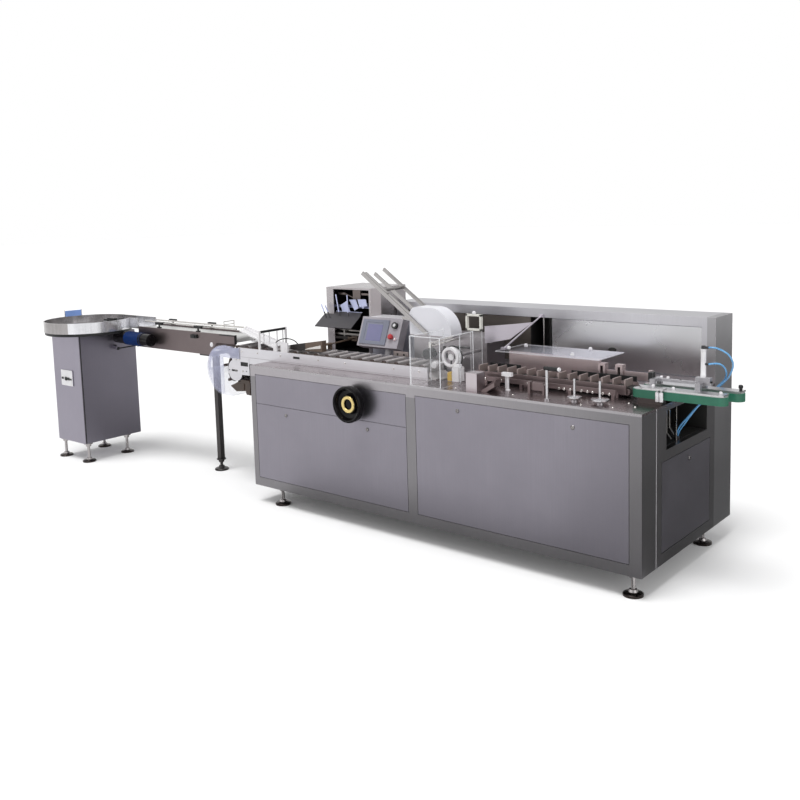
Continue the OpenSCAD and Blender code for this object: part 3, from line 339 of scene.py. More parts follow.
def make(name, mat, *solids, body="machine", slot="stainless", cut=0.6, place=at):
    """A piece from plain solids with their edges broken, which rides on a body."""
    form = bmesh.new()
    for points, faces in solids:
        fresh = [form.verts.new(place(*p)) for p in points]
        for face in faces:
            form.faces.new([fresh[i] for i in face])
    bmesh.ops.recalc_face_normals(form, faces=form.faces)
    if cut:
        sharp = [e for e in form.edges if len(e.link_faces) == 2 and e.calc_face_angle() > bevel_angle]
        bmesh.ops.bevel(form, geom=sharp, offset=cut / 1000, segments=2, affect="EDGES", clamp_overlap=True)
    mesh = bpy.data.meshes.new(name)
    form.to_mesh(mesh)
    form.free()
    mesh.materials.append(mat)
    mesh.polygons.foreach_set("use_smooth", [True] * len(mesh.polygons))
    mesh.set_sharp_from_angle(angle=smooth_angle)
    piece = bpy.data.objects.new(name, mesh)
    scene.collection.objects.link(piece)
    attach(piece, body)


# Above 0.795 m the top rail is painted lighter, a painted sheen; this tone runs out towards the right end, which is
# left darker as painted shade.
dress(steel("frame_sheet", (0.24, 0.232, 0.243), beyond=(2, 0.795, (0.39, 0.37, 0.39)), fade=(0, 0.5, 2.1)),
      "base_cabinet")
sealant = coated("joint_sealant", (0.42, 0.41, 0.43), (0.36, 0.35, 0.37), (0.5, 0.49, 0.5), (0.45, 0.6), size=20.0)
make("end_joint", sealant, block(2567.2, 2570, 147.5, 151.5, 113, 857), cut=0.5)

# Access panels
# Lift-off sheets with folded edges in the front, ends and back, brushed upright.
dress(steel("panel_sheet", (0.272, 0.258, 0.296), (0.34, 0.46)), "access_panels")

# Panel locks
# Quarter-turn locks with a coin slot, pressed into the sheets; the plates are dark and their lightened rims are a
# painted highlight.
dress(steel("lock_plate", (0.20, 0.19, 0.19), (0.2, 0.3), (260.0, 260.0, 260.0), edge_wear_and_glint=2.2), "panel_locks")


# Rear cabinet
# Stepped housing in the same sheet. Its slot is lined with black sheets as painted shade, and holds one thin post.
# A black rubber plug closes an oval hole in the right inset sheet.
def turned(centre, axis, outline, steps=28, loop=False):
    """A turned form: (radius, height) pairs along an axis through its centre."""
    points, faces, rings = [], [], []
    for r, h in outline:
        count = 1 if r == 0 else steps
        ring = []
        for k in range(count):
            u, v = r * math.cos(2 * math.pi * k / steps), r * math.sin(2 * math.pi * k / steps)
            offset = {"x": (h, u, v), "y": (u, h, v), "z": (u, v, h)}[axis]
            ring.append(len(points))
            points.append(tuple(c + o for c, o in zip(centre, offset)))
        rings.append(ring)
    for a, b in zip(rings, rings[1:] + rings[:1] if loop else rings[1:]):
        for k in range(steps):
            face = [a[k % len(a)], a[(k + 1) % len(a)], b[(k + 1) % len(b)], b[k % len(b)]]
            face = list(dict.fromkeys(face))
            if len(face) > 2:
                faces.append(tuple(face))
    return points, faces


# At its right end, past 2.2 m, the sheet is painted darker, a painted shade on the end turned from the lamps.
dress(steel("rear_sheet", (0.54, 0.535, 0.565), beyond=(0, 2.2, (0.385, 0.38, 0.395))), "rear_cabinet")
black = coated("dull_black", (0.008, 0.008, 0.008), (0.014, 0.013, 0.012), (0.03, 0.03, 0.03), (0.55, 0.7), size=20.0)
make("rear_slot_shade_lining", black, block(1487.3, 1489, 843, 986.5, 921, 1144.5),
     block(1613, 1614.7, 843, 986.5, 921, 1144.5), block(1487.3, 1614.7, 984.5, 986.5, 921, 1144.5),
     block(1487.3, 1614.7, 843, 986.5, 920.2, 922), block(1487.3, 1614.7, 843, 986.5, 1143, 1144.8), cut=0)
drawn_grain = (8.0, 300.0, 300.0)
bright = steel("bright_rod", (0.6, 0.58, 0.56), (0.18, 0.3), drawn_grain)
make("rear_slot_post", bright, turned((1557, 872, 0), "z", [(0, 922), (5, 922), (5, 1143), (0, 1143)], 12))
oval = turned((0, 0, 0), "y", [(0, 849.5), (10, 849.8), (12, 851), (12, 852), (0, 852)])
make("inset_plug", black, ([(1997 + x * 2.1, y, 989 + z) for x, y, z in oval[0]], oval[1]), cut=0)


# Rear inset sheets
# Two sheets set into the front of the rear cabinet: a dull one on the left, a polished one on the right.
# They are dressed as one node, whose finish changes along the machine.
def parted(name, axis, finishes, levels, size=8.0, bump=0.06, radius=0.002, cloud=0.86):
    """A node whose parts differ: each finish (colour, metal, roughness) begins at a level along an axis."""
    mat = bpy.data.materials.new(name)
    mat.use_nodes = True
    tree = mat.node_tree
    shader = tree.nodes["Principled BSDF"]
    along = node(tree, "SeparateXYZ", [(0, node(tree, "TexCoord").outputs["Object"])]).outputs[axis]
    cloudy = effect(tree, marks, Size=size)
    worn = effect(tree, wear, Radius=radius)
    edge_gain, edge_lift = 1.3, 0.02
    for i, (tint, shine, gloss) in enumerate(finishes):
        shade = mixed(tree, cloudy["Mask"], tint, tuple(c * cloud for c in tint))
        shade = mixed(tree, worn["Mask"], shade, tuple(min(1.0, c * edge_gain + edge_lift) for c in tint))
        if i == 0:
            base, metal, rough = shade, shine, gloss
            continue
        step = node(tree, "Math", [(0, along), (1, levels[i - 1])], operation="GREATER_THAN").outputs[0]
        base = mixed(tree, step, base, shade)
        metal = node(tree, "Mix", [("Factor", step), ("A", metal), ("B", shine)]).outputs[0]
        rough = node(tree, "Mix", [("Factor", step), ("A", rough), ("B", gloss)]).outputs[0]
    uneven = node(tree, "MapRange", [("Value", cloudy["Mask"]), ("To Min", -0.03), ("To Max", 0.05)])
    tree.links.new(base, shader.inputs["Base Color"])
    tree.links.new(metal, shader.inputs["Metallic"])
    tree.links.new(node(tree, "Math", [(0, rough), (1, uneven.outputs[0])], operation="ADD").outputs[0],
                   shader.inputs["Roughness"])
    relief = node(tree, "Bump", [("Strength", bump), ("Distance", 0.001), ("Height", cloudy["Height"])])
    tree.links.new(relief.outputs[0], shader.inputs["Normal"])
    return mat


dress(parted("inset_sheets", 0, [((0.17, 0.15, 0.135), 0.8, 0.4), ((0.58, 0.58, 0.60), 1.0, 0.27)], [1.23], size=1.2,
             bump=0.003, cloud=0.985), "rear_inset_panels")

# Table plate
# Thick ground plate, worn dull by use, with an oil film and wiping marks.
long_grain = (5.0, 260.0, 260.0)
# Behind its front edge the top is painted darker and browner, a painted shade and reflection of the parts above it.
dress(steel("table_plate", (0.40, 0.385, 0.40), (0.2, 0.32), long_grain, bump=0.04, size=5.0, edge_wear_and_glint=1.0,
            radius=0.0008, beyond=(1, -0.4265, (0.345, 0.296, 0.305))), "table_top")

# Levelling feet and transfer leg
# Turned stainless feet with lock nuts on dark pads, and the square tube leg of the transfer conveyor.
# Below 19 mm the pads are dark; every edge takes three times the pad tone, a painted highlight on the pads' rims.
dress(steel("foot_steel", (0.05, 0.042, 0.04), (0.2, 0.35), (30.0, 30.0, 400.0), bump=0.06, size=9.0, edge_wear_and_glint=3.0,
            radius=0.0015, beyond=(2, 0.019, (0.42, 0.40, 0.40))), "levelling_feet")
dress(steel("leg_tube", (0.075, 0.07, 0.07), (0.3, 0.42)), "transfer_leg")

# Handwheel
# Black moulded wheel, dished, with a brass-coloured ring round the dial of its indicator.
wheel_black = coated("wheel_black", (0.004, 0.0035, 0.004), (0.007, 0.006, 0.007), (0.012, 0.011, 0.012),
                     (0.10, 0.18), size=20.0, bump=0.03, Specular_IOR_Level=0.14)
dress(wheel_black, "handwheel")
dress(steel("ring_brass", (0.74, 0.58, 0.24), (0.22, 0.32), (200.0, 200.0, 200.0), metal=0.7), "handwheel_ring")

# Bucket infeed
# Anodised rails with a rubber plug in the slot, brown bucket walls on the chain, machined sprockets.
# Slotted end plates with a brown bracket below, a white slide plate, white guide rods and a dark hold-down.
fine_grain = (5.0, 300.0, 300.0)
rail = steel("rail_satin", (0.63, 0.62, 0.65), (0.34, 0.46), fine_grain, bump=0.04, size=6.0, edge_wear_and_glint=1.15)
dress(rail, "infeed_rails", "infeed_end_plates")
dress(parted("bucket_walls", 1, [((0.07, 0.045, 0.042), 0.0, 0.42), ((0.40, 0.375, 0.375), 0.0, 0.4)], [-0.215],
             size=18.0, bump=0.06, radius=0.001), "infeed_chain")
dress(steel("sprocket_steel", (0.4, 0.39, 0.38), (0.28, 0.4), (200.0, 200.0, 200.0)), "infeed_sprockets")
dress(parted("guide_rods_and_blocks", 0, [((0.84, 0.83, 0.84), 0.0, 0.35), ((0.80, 0.79, 0.81), 0.0, 0.4)], [-0.305],
             radius=0.0006), "product_guides")
dress(parted("holddown_dark", 0, [((0.018, 0.014, 0.013), 0.0, 0.6), ((0.13, 0.092, 0.068), 0.2, 0.45)], [-0.06],
             size=16.0, bump=0.1, radius=0.001), "product_holddown")
satin_black = coated("satin_black", (0.014, 0.014, 0.015), (0.024, 0.024, 0.025), (0.05, 0.05, 0.05), (0.36, 0.5),
                     size=22.0, Specular_IOR_Level=0.25)
make("rail_slot_plug", satin_black, block(205.5, 261.5, 171.5, 175.8, 892.5, 905.5), slot="black_plastic")
make("rail_end_stop", satin_black, block(-344, -306.3, 170.4, 182, 868, 917), slot="black_plastic")
make("end_plate_notch", satin_black, block(-287.4, -216.6, 172, 181.4, 805.5, 831.5), slot="black_plastic", cut=0.4)
make("cross_bar_sleeve", satin_black,
     turned((-102, 0, 1035), "y", [(7.2, 183), (8.2, 184), (8.2, 396), (7.2, 397)], 20, True), slot="black_plastic",
     cut=0)


def skin(n):
    """The faces between two outlines of n points each: both ends, then the sides."""
    sides = [(i, (i + 1) % n, n + (i + 1) % n, n + i) for i in range(n)]
    return [tuple(range(n)), tuple(range(2 * n - 1, n - 1, -1))] + sides


def prism(outline, y0, y1):
    """A plate with an outline in x and z, between two depths."""
    return [(x, y, z) for y in (y0, y1) for x, z in outline], skin(len(outline))


brown = coated("dark_brown", (0.035, 0.022, 0.016), (0.055, 0.036, 0.026), (0.10, 0.07, 0.05), (0.4, 0.55),
               size=18.0, bump=0.12)
# A dark grey strip along the joint of rail and table paints the shadow in that gap.
make("rail_joint", sealant, block(-310, 1262, 168.9, 170.1, 863.5, 867), slot="rail_aluminium", cut=0)
make("rail_wear_strip", brown, *[block(x0, x1, 177, 181.8, 924.9, 928.6) for x0, x1 in ((-430, -112), (126, 1232))],
     slot="bucket_plastic", cut=0.4)
make("rail_ledge", rail, block(-204, -1, 170.4, 181.6, 824, 859.8), slot="rail_aluminium")
white = coated("white_plastic", (0.76, 0.75, 0.77), (0.68, 0.67, 0.69), (0.85, 0.85, 0.85), (0.3, 0.42), size=14.0)
slide_thick = 2.5
slide = [(-330, 209, 1025.8), (-15, 209, 937.8), (-96, 384, 937.8), (-455, 384, 1025.8)]
make("slide_plate", white, (slide + [(x, y, z - slide_thick) for x, y, z in slide], skin(4)), slot="guide_steel",
     cut=0.3)
make("end_bracket", brown,
     prism([(-400, 664), (-340, 690), (-316, 699), (-208, 699), (-208, 618), (-246, 620), (-252, 642), (-345, 632)],
           171, 181), prism([(-330, 640), (-262, 648), (-262, 690), (-330, 684)], 166.5, 171.2),
     block(-300, -214, 173, 179, 698, 712), slot="bucket_plastic", cut=1.0)
end_x, end_z = -343, 772
# A black arc on the left of the end plate's circle is painted shade on its side.
shade_arc = [(end_x + r * math.cos(math.radians(a)), end_z + r * math.sin(math.radians(a)))
           for r, turns in ((70.4, range(100, 261, 8)), (76, range(260, 99, -8))) for a in turns]
make("end_plate_shade_arc", wheel_black, prism(shade_arc, 170.6, 181.4), slot="black_plastic", cut=0.3)


def circle(centre, r, side, other, steps):
    """The points of a circle in the plane of two directions."""
    turns = [2 * math.pi * k / steps for k in range(steps)]
    return [tuple(centre + r * (math.cos(a) * side + math.sin(a) * other)) for a in turns]


def tube(points, r, steps=10):
    """A round bent wire through the points."""
    line = smooth_path([Vector(p) for p in points])
    found, faces = [], []
    for i, p in enumerate(line):
        way = (line[min(i + 1, len(line) - 1)] - line[max(i - 1, 0)]).normalized()
        side = way.cross(Vector((0, 1, 0.2))).normalized()
        other = way.cross(side)
        found += circle(p, r, side, other, steps)
    for i in range(len(line) - 1):
        faces += [(i * steps + k, i * steps + (k + 1) % steps, (i + 1) * steps + (k + 1) % steps,
                   (i + 1) * steps + k) for k in range(steps)]
    return found, faces + [tuple(range(steps)), tuple(range(len(found) - 1, len(found) - steps - 1, -1))]


make("holddown_spring", satin_black,
     tube([(46, 176, 968), (52, 179, 985), (85, 190, 1002), (129, 204, 1007), (168, 218, 997), (190, 228, 975),
           (196, 232, 945)], 3.2), slot="black_plastic", cut=0)
# A bright strip on the front of the hold-down is a painted highlight.
make("holddown_highlight_strip", bright, prism([(258, 946), (398, 962), (398, 981), (290, 957)], 217.6, 220.2),
     slot="guide_steel", cut=0.4)
screw = [(0, 0), (5, 0), (5, -2.2), (4.2, -3), (2.2, -3), (2.2, -1.6), (0, -1.6)]


def screws(name, mat, axis, places, size=1.0, sign=1):
    """Socket screws: turned heads with a blind hole, standing on a face."""
    outline = [(r * size, h * size * sign) for r, h in screw]
    make(name, mat, *[turned(p, axis, outline, 14) for p in places], slot="guide_steel", cut=0)


rail_front = 170
screws("rail_screws", bright, "y", [(x, rail_front, 900) for x in (-270, -120, 90, 420, 640, 1010, 1190)], 1.1)
screws("end_plate_screws", bright, "y", [(x, rail_front, z) for x, z in ((-300, 846), (-330, 846), (-268, end_z))],
       1.2)


# Clear guards
# Acrylic sheet: nearly clear, faintly blue, with bright sawn edges and light wiping scratches.
# The square frame carries a white plastic knob.
def clear(name, tint, body, edge_tint, rough=(0.05, 0.16), radius=0.006, painted_sheen=None):
    """Clear sheet that shows its edges: partly see-through, glossy, with fine scratches.

    painted_sheen = (axis, start, end, low, high) makes it whiter along an axis, a painted sheen."""
    mat = bpy.data.materials.new(name)
    mat.use_nodes = True
    tree = mat.node_tree
    shader = tree.nodes["Principled BSDF"]
    shader.inputs["IOR"].default_value = 1.49
    cloudiest, most_solid = 1.25, 0.8
    cloudy = effect(tree, marks, Size=9.0)
    worn = effect(tree, wear, Radius=radius)
    tree.links.new(mixed(tree, worn["Mask"], tint, edge_tint), shader.inputs["Base Color"])
    gloss = node(tree, "MapRange", [("Value", cloudy["Mask"]), ("To Min", rough[0]), ("To Max", rough[1])])
    tree.links.new(gloss.outputs[0], shader.inputs["Roughness"])
    haze = node(tree, "MapRange", [("Value", cloudy["Mask"]), ("To Min", body), ("To Max", body * cloudiest)])
    if painted_sheen:
        along = node(tree, "SeparateXYZ", [(0, node(tree, "TexCoord").outputs["Object"])]).outputs[painted_sheen[0]]
        more = node(tree, "MapRange", [("Value", along)] + list(enumerate(painted_sheen[1:], 1)))
        haze = node(tree, "Math", [(0, haze.outputs[0]), (1, more.outputs[0])], operation="MULTIPLY")
    solid = node(tree, "Math", [(0, haze.outputs[0]), (1, worn["Mask"])], operation="MAXIMUM")
    limit = node(tree, "Math", [(0, solid.outputs[0]), (1, most_solid)], operation="MINIMUM")
    tree.links.new(limit.outputs[0], shader.inputs["Alpha"])
    return mat


def rod(p, q, r, steps=10):
    """A straight round rod from p to q."""
    p, q = Vector(p), Vector(q)
    way = (q - p).normalized()
    side = way.orthogonal().normalized()
    other = way.cross(side)
    return circle(p, r, side, other, steps) + circle(q, r, side, other, steps), skin(steps)


dress(clear("clear_acrylic", (0.86, 0.87, 0.90), 0.034, (0.86, 0.87, 0.9)), "clear_guards")
# The closing cover is painted whiter towards its right end, a painted sheen.
dress(clear("cover_acrylic", (0.82, 0.82, 0.93), 0.26, (0.92, 0.92, 0.95), (0.02, 0.05),
            painted_sheen=(0, 1.22, 1.62, 0.12, 1.5)), "closing_cover")
# The blue end guard is painted whiter towards its top, a painted sheen.
dress(clear("guard_blue", (0.52, 0.54, 0.71), 0.25, (0.76, 0.78, 0.90), radius=0.002,
            painted_sheen=(2, 0.70, 0.90, 0.65, 1.7)), "infeed_end_guard")
knob = [(0, 0), (9.5, 0), (10.5, 4), (10.5, 10), (8.5, 15), (4, 18), (0, 18.6)]
make("guard_knob", white, turned((1393, 412, 1199), "z", knob), slot="cylinder_white", cut=0)
table_z = 860
edge_clear = clear("sawn_edge", (0.86, 0.88, 0.91), 0.4, (0.9, 0.91, 0.93), radius=0.0005)
make("guard_edges", edge_clear,
     *[rod((x, y, table_z + 0.5), (x, y, 1122.5), 2.6, 8) for x in (1267, 1463) for y in (4.5, 178)],
     rod((1267, 4.5, 1122), (1463, 4.5, 1122), 2.2, 8),
     *[rod((x, 5, 1122), (x, 299, 1122), 2.2, 8) for x in (1267, 1463)],
     *[rod((x, 298, 948 if x < 1300 else 910), (x, 298, 1122), 2.4, 8) for x in (1267, 1463)], slot="clear_acrylic",
     cut=0)
cream = coated("cream_frame", (0.70, 0.69, 0.64), (0.64, 0.63, 0.58), (0.8, 0.8, 0.76), (0.3, 0.42), size=14.0)
make("frame_edges", cream, *[block(x, x + 11.4, 403.2, 420.8, 1110.4, 1200.6) for x in (1341.3, 1433.3)],
     block(1341.3, 1444.7, 403.2, 420.8, 1189.4, 1200.7), block(1341.3, 1444.7, 403.2, 420.8, 1109.6, 1120.6),
     slot="clear_acrylic", cut=0.4)

# Transfer conveyor
# Plate frame in dull stainless with a black end and bracket, white belt, black rail clamps, bright rods.
# The geared motor is painted blue between black end caps.
dress(steel("frame_plate", (0.18, 0.148, 0.148), (0.3, 0.45), long_grain, bump=0.06, size=5.0), "transfer_frame")
dress(coated("belt_white", (0.62, 0.62, 0.61), (0.54, 0.54, 0.53), (0.7, 0.7, 0.7), (0.4, 0.55), size=10.0,
             bump=0.1), "transfer_belt")
dress(satin_black, "transfer_guides")
make("transfer_rods", bright, *[rod((-1499.5, y, 1018), (-475.5, y, 1018), 5.6) for y in (306, 394)],
     slot="guide_steel", cut=0)
make("transfer_hoop", bright, *[rod((-600, y, 1012), (-600, y, 1062), 3, 8) for y in (306, 394)],
     rod((-600, 303, 1061), (-600, 397, 1061), 3, 8), rod((-600, 306, 1040), (-600, 394, 1040), 2.4, 8),
     slot="guide_steel", cut=0)
make("transfer_plug", white, turned((-674, 250, 906), "y", [(0, -3.5), (10, -3.5), (15.5, -2), (16.5, 0), (0, 0)]),
     slot="cylinder_white", cut=0)
make("transfer_end_cap", satin_black, block(-437.5, -434.8, 250.3, 272, 924.5, 984),
     block(-586, -436, 248.4, 250, 976, 984), slot="black_plastic", cut=0.4)
make("transfer_bracket", satin_black, block(-884, -822, 236, 250, 940, 966), block(-872, -834, 228, 237, 946, 960),
     slot="black_plastic")
motor_paint = coated("motor_blue", (0.004, 0.024, 0.12), (0.003, 0.018, 0.095), (0.015, 0.05, 0.17), (0.3, 0.45),
                     size=16.0, bump=0.12, Specular_IOR_Level=0.2)
dress(motor_paint, "transfer_motor")
cap_left = [(0, -1698), (41, -1698), (44.4, -1696), (44.4, -1586), (48.8, -1583), (48.8, -1562), (46, -1560),
            (0, -1560)]
cap_right = [(0, -1390), (46, -1390), (48.8, -1388), (48.8, -1373), (44.4, -1368), (44.4, -1284), (41, -1282),
             (0, -1282)]
motor_axis = (0, 195, 901)
make("motor_caps", wheel_black, *[turned(motor_axis, "x", cap, 32) for cap in (cap_left, cap_right)],
     slot="black_plastic", cut=0)
make("motor_fins", motor_paint,
     *[turned(motor_axis, "x", [(47.5, x), (50.5, x + 0.6), (50.5, x + 3.4), (47.5, x + 4)], 40, True)
       for x in range(-1552, -1394, 14)], slot="motor_blue", cut=0)

# Rotary table
# Brushed cabinet with a white switch plate, rolled stainless tray over a black ring, turning disc.
# A steel plough guides the products; a blue plate stands on the rim between two posts. The clamp lever is black.
# Right of the seam the sheet, with the cabinet's right side, is painted darker, a painted shade.
dress(steel("rotary_sheet", (0.31, 0.292, 0.345), beyond=(0, -2.0656, (0.265, 0.25, 0.295))), "rotary_cabinet")
# The tray's strong upright light and dark streaks are painted reflection bands, and past -2.08 m it is painted near
# white, a painted reflection.
dress(steel("tray_sheet", (0.44, 0.42, 0.42), (0.14, 0.24), (9.0, 9.0, 0.3), bump=0.02, metal=0.8,
            streak=(1.25, 0.42), beyond=(0, -2.08, (0.92, 0.92, 0.97))), "rotary_tray")
dress(steel("disc_sheet", (0.62, 0.62, 0.65), (0.2, 0.3), (60.0, 60.0, 60.0), bump=0.03), "rotary_disc")
dress(parted("plough_and_plate", 2, [((0.5, 0.5, 0.51), 1.0, 0.3), ((0.21, 0.345, 0.72), 0.0, 0.35)], [1.0345]),
      "tray_fittings")
make("switch_plate", white, block(-1997.5, -1846.5, -112, -108.6, 559.5, 675.5), slot="cylinder_white", cut=1.2)
switches = ((-1985, -1963, 606, 16), (-1945, -1920, 598, 26), (-1913, -1880, 602, 20), (-1872, -1856, 604, 12))
make("switch_row", satin_black, *[block(x0, x1, -117, -111.8, z0, z0 + h) for x0, x1, z0, h in switches],
     slot="black_plastic", cut=1.5)
make("rotary_seam", black, block(-1741.6, -1739.4, -99, -91, 141, 933), cut=0.3)
tray_x, tray_y, rim_mid = -1920, 95, 305
make("tray_ring", satin_black,
     turned((tray_x, tray_y, 0), "z", [(290, 937), (307, 937), (310, 940), (310, 957.8), (290, 957.8)], 72, True),
     slot="black_plastic", cut=0)
plate_turn = math.radians(169)
ahead, across = (math.cos(plate_turn), math.sin(plate_turn)), (-math.sin(plate_turn), math.cos(plate_turn))
posts = []
for reach in (-65, 65):
    cx, cy = tray_x + rim_mid * ahead[0] + reach * across[0], tray_y + rim_mid * ahead[1] + reach * across[1]
    posts.append(turned((cx, cy, 0), "z", [(0, 1030), (3, 1030), (3, 1082), (2, 1085), (0, 1085)], 12))
make("plate_posts", bright, *posts, slot="guide_steel", cut=0)
make("plough_block", satin_black, block(-1790, -1700, 172, 200, 1008, 1040),
     block(-1850, -1788, 180, 194, 1016, 1028), slot="black_plastic", cut=1.0)
lever = rod((-1704, 196, 812), (-1512, 244, 846), 5)
make("clamp_lever", satin_black, lever,
     turned((-1704, 196, 800), "z", [(0, 0), (8, 2), (12, 7), (13, 12), (12, 17), (8, 22), (0, 24)], 16),
     turned((-1514, 250, 846), "y", [(0, -14), (11, -14), (12, -12), (12, 0), (0, 0)], 16), slot="black_plastic",
     cut=0)

# Leaflet folder
# Stainless housing lined with black sheets as painted shade, a grey feed plate, bright bluish fold plates and cross
# bars.
dress(steel("folder_sheet", (0.43, 0.405, 0.415), (0.22, 0.34), metal=0.8), "folder_housing")
dress(parted("fold_and_feed_plates", 2,
             [((0.42, 0.40, 0.38), 0.7, 0.4), ((0.088, 0.084, 0.09), 0.8, 0.42), ((0.58, 0.62, 0.86), 0.3, 0.35)],
             [1.02, 1.137]), "folder_plates")
make("folder_shade_lining", black, block(102.4, 104, 608.6, 937.5, 872.4, 1282.6),
     block(456, 457.6, 602, 937.5, 872.4, 1282.6), block(102.4, 457.6, 935.8, 937.6, 872.4, 1282.6),
     block(102.4, 457.6, 608.6, 937.5, 872.4, 873.6), block(102.4, 457.6, 608.6, 937.5, 1281.2, 1282.6), cut=0)
dull = steel("dull_fittings", (0.20, 0.17, 0.16), (0.35, 0.5), (60.0, 60.0, 60.0))
make("folder_top_fittings", dull, block(286, 352, 640, 662, 1218, 1281), block(352, 420, 646, 656, 1246, 1258),
     block(150, 216, 646, 656, 1244, 1256), rod((286, 650, 1226), (216, 650, 1250), 5), slot="guide_steel", cut=1.0)
side_sheet = steel("folder_side", (0.62, 0.57, 0.58), (0.4, 0.5), metal=0.15)
# A light, nearly matt sheet over the housing's right side is painted light, standing in for how that side is lit.
make("folder_side_sheet", side_sheet, block(470.1, 471.6, 600.6, 699.6, 861, 1294.4), cut=0.4)

# Cover beside the folder
# Slim stainless box on the table between the folder and the feeder, with a folded lid over a shadow gap.
cover_sheet = steel("cover_sheet", (0.44, 0.45, 0.52), (0.35, 0.45), metal=0.3)
lid_sheet = steel("lid_sheet", (0.82, 0.81, 0.84), (0.3, 0.42), long_grain, metal=0.4)
make("side_cover_body", cover_sheet, block(473, 874, 604, 712, table_z + 0.3, 1106),
     block(479, 868, 602.4, 604.2, 900, 1098), cut=1.5)
# The lid is painted near white against the darker box, a painted highlight on its top.
make("side_cover_lid", lid_sheet, block(472, 876, 600, 715, 1112, 1121), block(472, 876, 600, 602, 1108, 1113),
     cut=1.2)
# The black block in the gap under the lid is a painted shadow.
make("side_cover_gap", black, block(476, 872, 607, 709, 1105.8, 1112.2), cut=0.3)

# Operator panel
# Light grey powder coat, dark bezel with a lit screen, black selector with a white centre, red mushroom.
# The post has a white foot; a tan stop plate with two holes stands on the table beside it.
lean_back = math.radians(-22)
panel_x, panel_y, panel_z = 640, 485, 1045


def on_panel(x, y, z):
    """A point of the tilted operator panel: across, out from its face, up."""
    c, s = math.cos(lean_back), math.sin(lean_back)
    return at(panel_x + x, panel_y + y * c - z * s, panel_z + y * s + z * c)


dress(coated("panel_grey", (0.37, 0.345, 0.38), (0.33, 0.31, 0.34), (0.5, 0.48, 0.5), (0.4, 0.5), size=12.0,
             bump=0.15), "operator_panel")
dress(coated("bezel_grey", (0.165, 0.175, 0.23), (0.19, 0.2, 0.255), (0.30, 0.30, 0.36), (0.35, 0.45), size=12.0,
             bump=0.08), "operator_screen")
dress(parted("selector_and_stop", 2,
             [((0.02, 0.02, 0.02), 0.0, 0.35), ((0.45, 0.02, 0.025), 0.0, 0.3), ((0.012, 0.012, 0.012), 0.0, 0.3)],
             [0.9985, 1.058]), "operator_buttons")
glass = coated("lit_screen", (0.14, 0.136, 0.275), (0.12, 0.123, 0.25), (0.2, 0.2, 0.3), (0.12, 0.2), size=9.0,
               bump=0.01, Coat_Weight=0.5)
make("touch_screen", glass, block(-97, 21, -5.2, -3.2, -58, 47), slot="screen_glass", place=on_panel, cut=0.3)
make("start_button", white,
     turned((134, 0, -36), "y", [(0, -9), (6, -9), (8.6, -7.6), (9.6, -5), (9.6, 0), (0, 0)], 20),
     slot="cylinder_white", place=on_panel, cut=0)
make("post_foot", white,
     turned((670, 525, 0), "z", [(12.3, 861), (30, 861), (30, 866), (14.5, 946), (12.3, 948)], 28, True),
     slot="cylinder_white", cut=0)
tan = steel("tan_plate", (0.42, 0.36, 0.345), (0.35, 0.45), long_grain, metal=0.6)
make("stop_plate", tan, block(768, 882, 458, 464, table_z + 0.3, 944), block(768, 882, 463, 492, table_z + 0.3, 866),
     cut=1.0)
make("stop_plate_holes", black,
     *[turned((x, 0, 926), "y", [(0, 457.2), (7, 457.2), (7, 458.4), (0, 458.4)], 16) for x in (800, 849)], cut=0)
make("selector_centre", white,
     turned((114, 0, 46), "y", [(0, -18.6), (7, -18.4), (9.5, -17), (10.5, -15.8), (0, -15.8)], 20),
     slot="cylinder_white", place=on_panel, cut=0)

# Carton magazine and hood
# Flat steel rails that slope down to the feeder, and a white coated hood with a rounded shoulder.
dress(steel("rail_bar", (0.40, 0.385, 0.38), (0.25, 0.36), drawn_grain), "magazine_rails")
dress(coated("hood_white", (0.76, 0.76, 0.81), (0.71, 0.71, 0.76), (0.86, 0.86, 0.88), (0.3, 0.42), size=5.0,
             bump=0.03, Coat_Weight=0.25), "feeder_hood")

# Carton feeder
# Stainless housing with a black drum, a white feed disc with dark slots, a yellow and a white block.
# A black guide plate sits behind the disc; a white roller runs on a shaft from the housing.
dress(steel("feeder_sheet", (0.34, 0.315, 0.33), beyond=(0, 1.25, (0.52, 0.475, 0.495))), "carton_feeder")
make("feed_drum", satin_black,
     turned((1194, 0, 987), "y", [(0, 233), (26, 233), (30.8, 236), (30.8, 291), (26, 292.6), (10.5, 292.6)], 32),
     slot="black_plastic", cut=0)
disc_x, disc_z = 1351, 982
disc_axis = (disc_x, 0, disc_z)
make("feed_disc", white,
     turned(disc_axis, "y", [(40, 253), (40, 238), (42, 236.5), (53, 236.5), (55, 239), (55, 270.6), (40, 270.8)],
            40, True), turned(disc_axis, "y", [(0, 247), (16, 247), (18, 249), (18, 252.5), (0, 252.5)], 24),
     slot="cylinder_white", cut=0)
half_wide, half_high = 5, 14
disc_slots = [(disc_x + x, disc_z + z) for x, z in ((-27, 6), (27, 6), (0, -28))]
make("feed_disc_slots", black,
     *[block(x - half_wide, x + half_wide, 250.6, 253, z - half_high, z + half_high) for x, z in disc_slots], cut=0.5)
make("feed_guides", satin_black, turned(disc_axis, "y", [(9.2, 271), (61, 271), (61, 277), (9.2, 277)], 40, True),
     block(1290, 1300, 262, 276, 906, 1036), block(1339, 1462, 262, 276, 1033, 1041), slot="black_plastic", cut=0.8)
make("feed_roller", white,
     turned((1238, 0, 930), "y", [(0, 240), (17, 240), (19, 242), (19, 270), (7, 270), (7, 520.4), (0, 520.4)], 24),
     slot="cylinder_white", cut=0)
yellow = coated("yellow_plastic", (0.62, 0.42, 0.07), (0.55, 0.36, 0.05), (0.7, 0.5, 0.15), (0.35, 0.45), size=18.0)
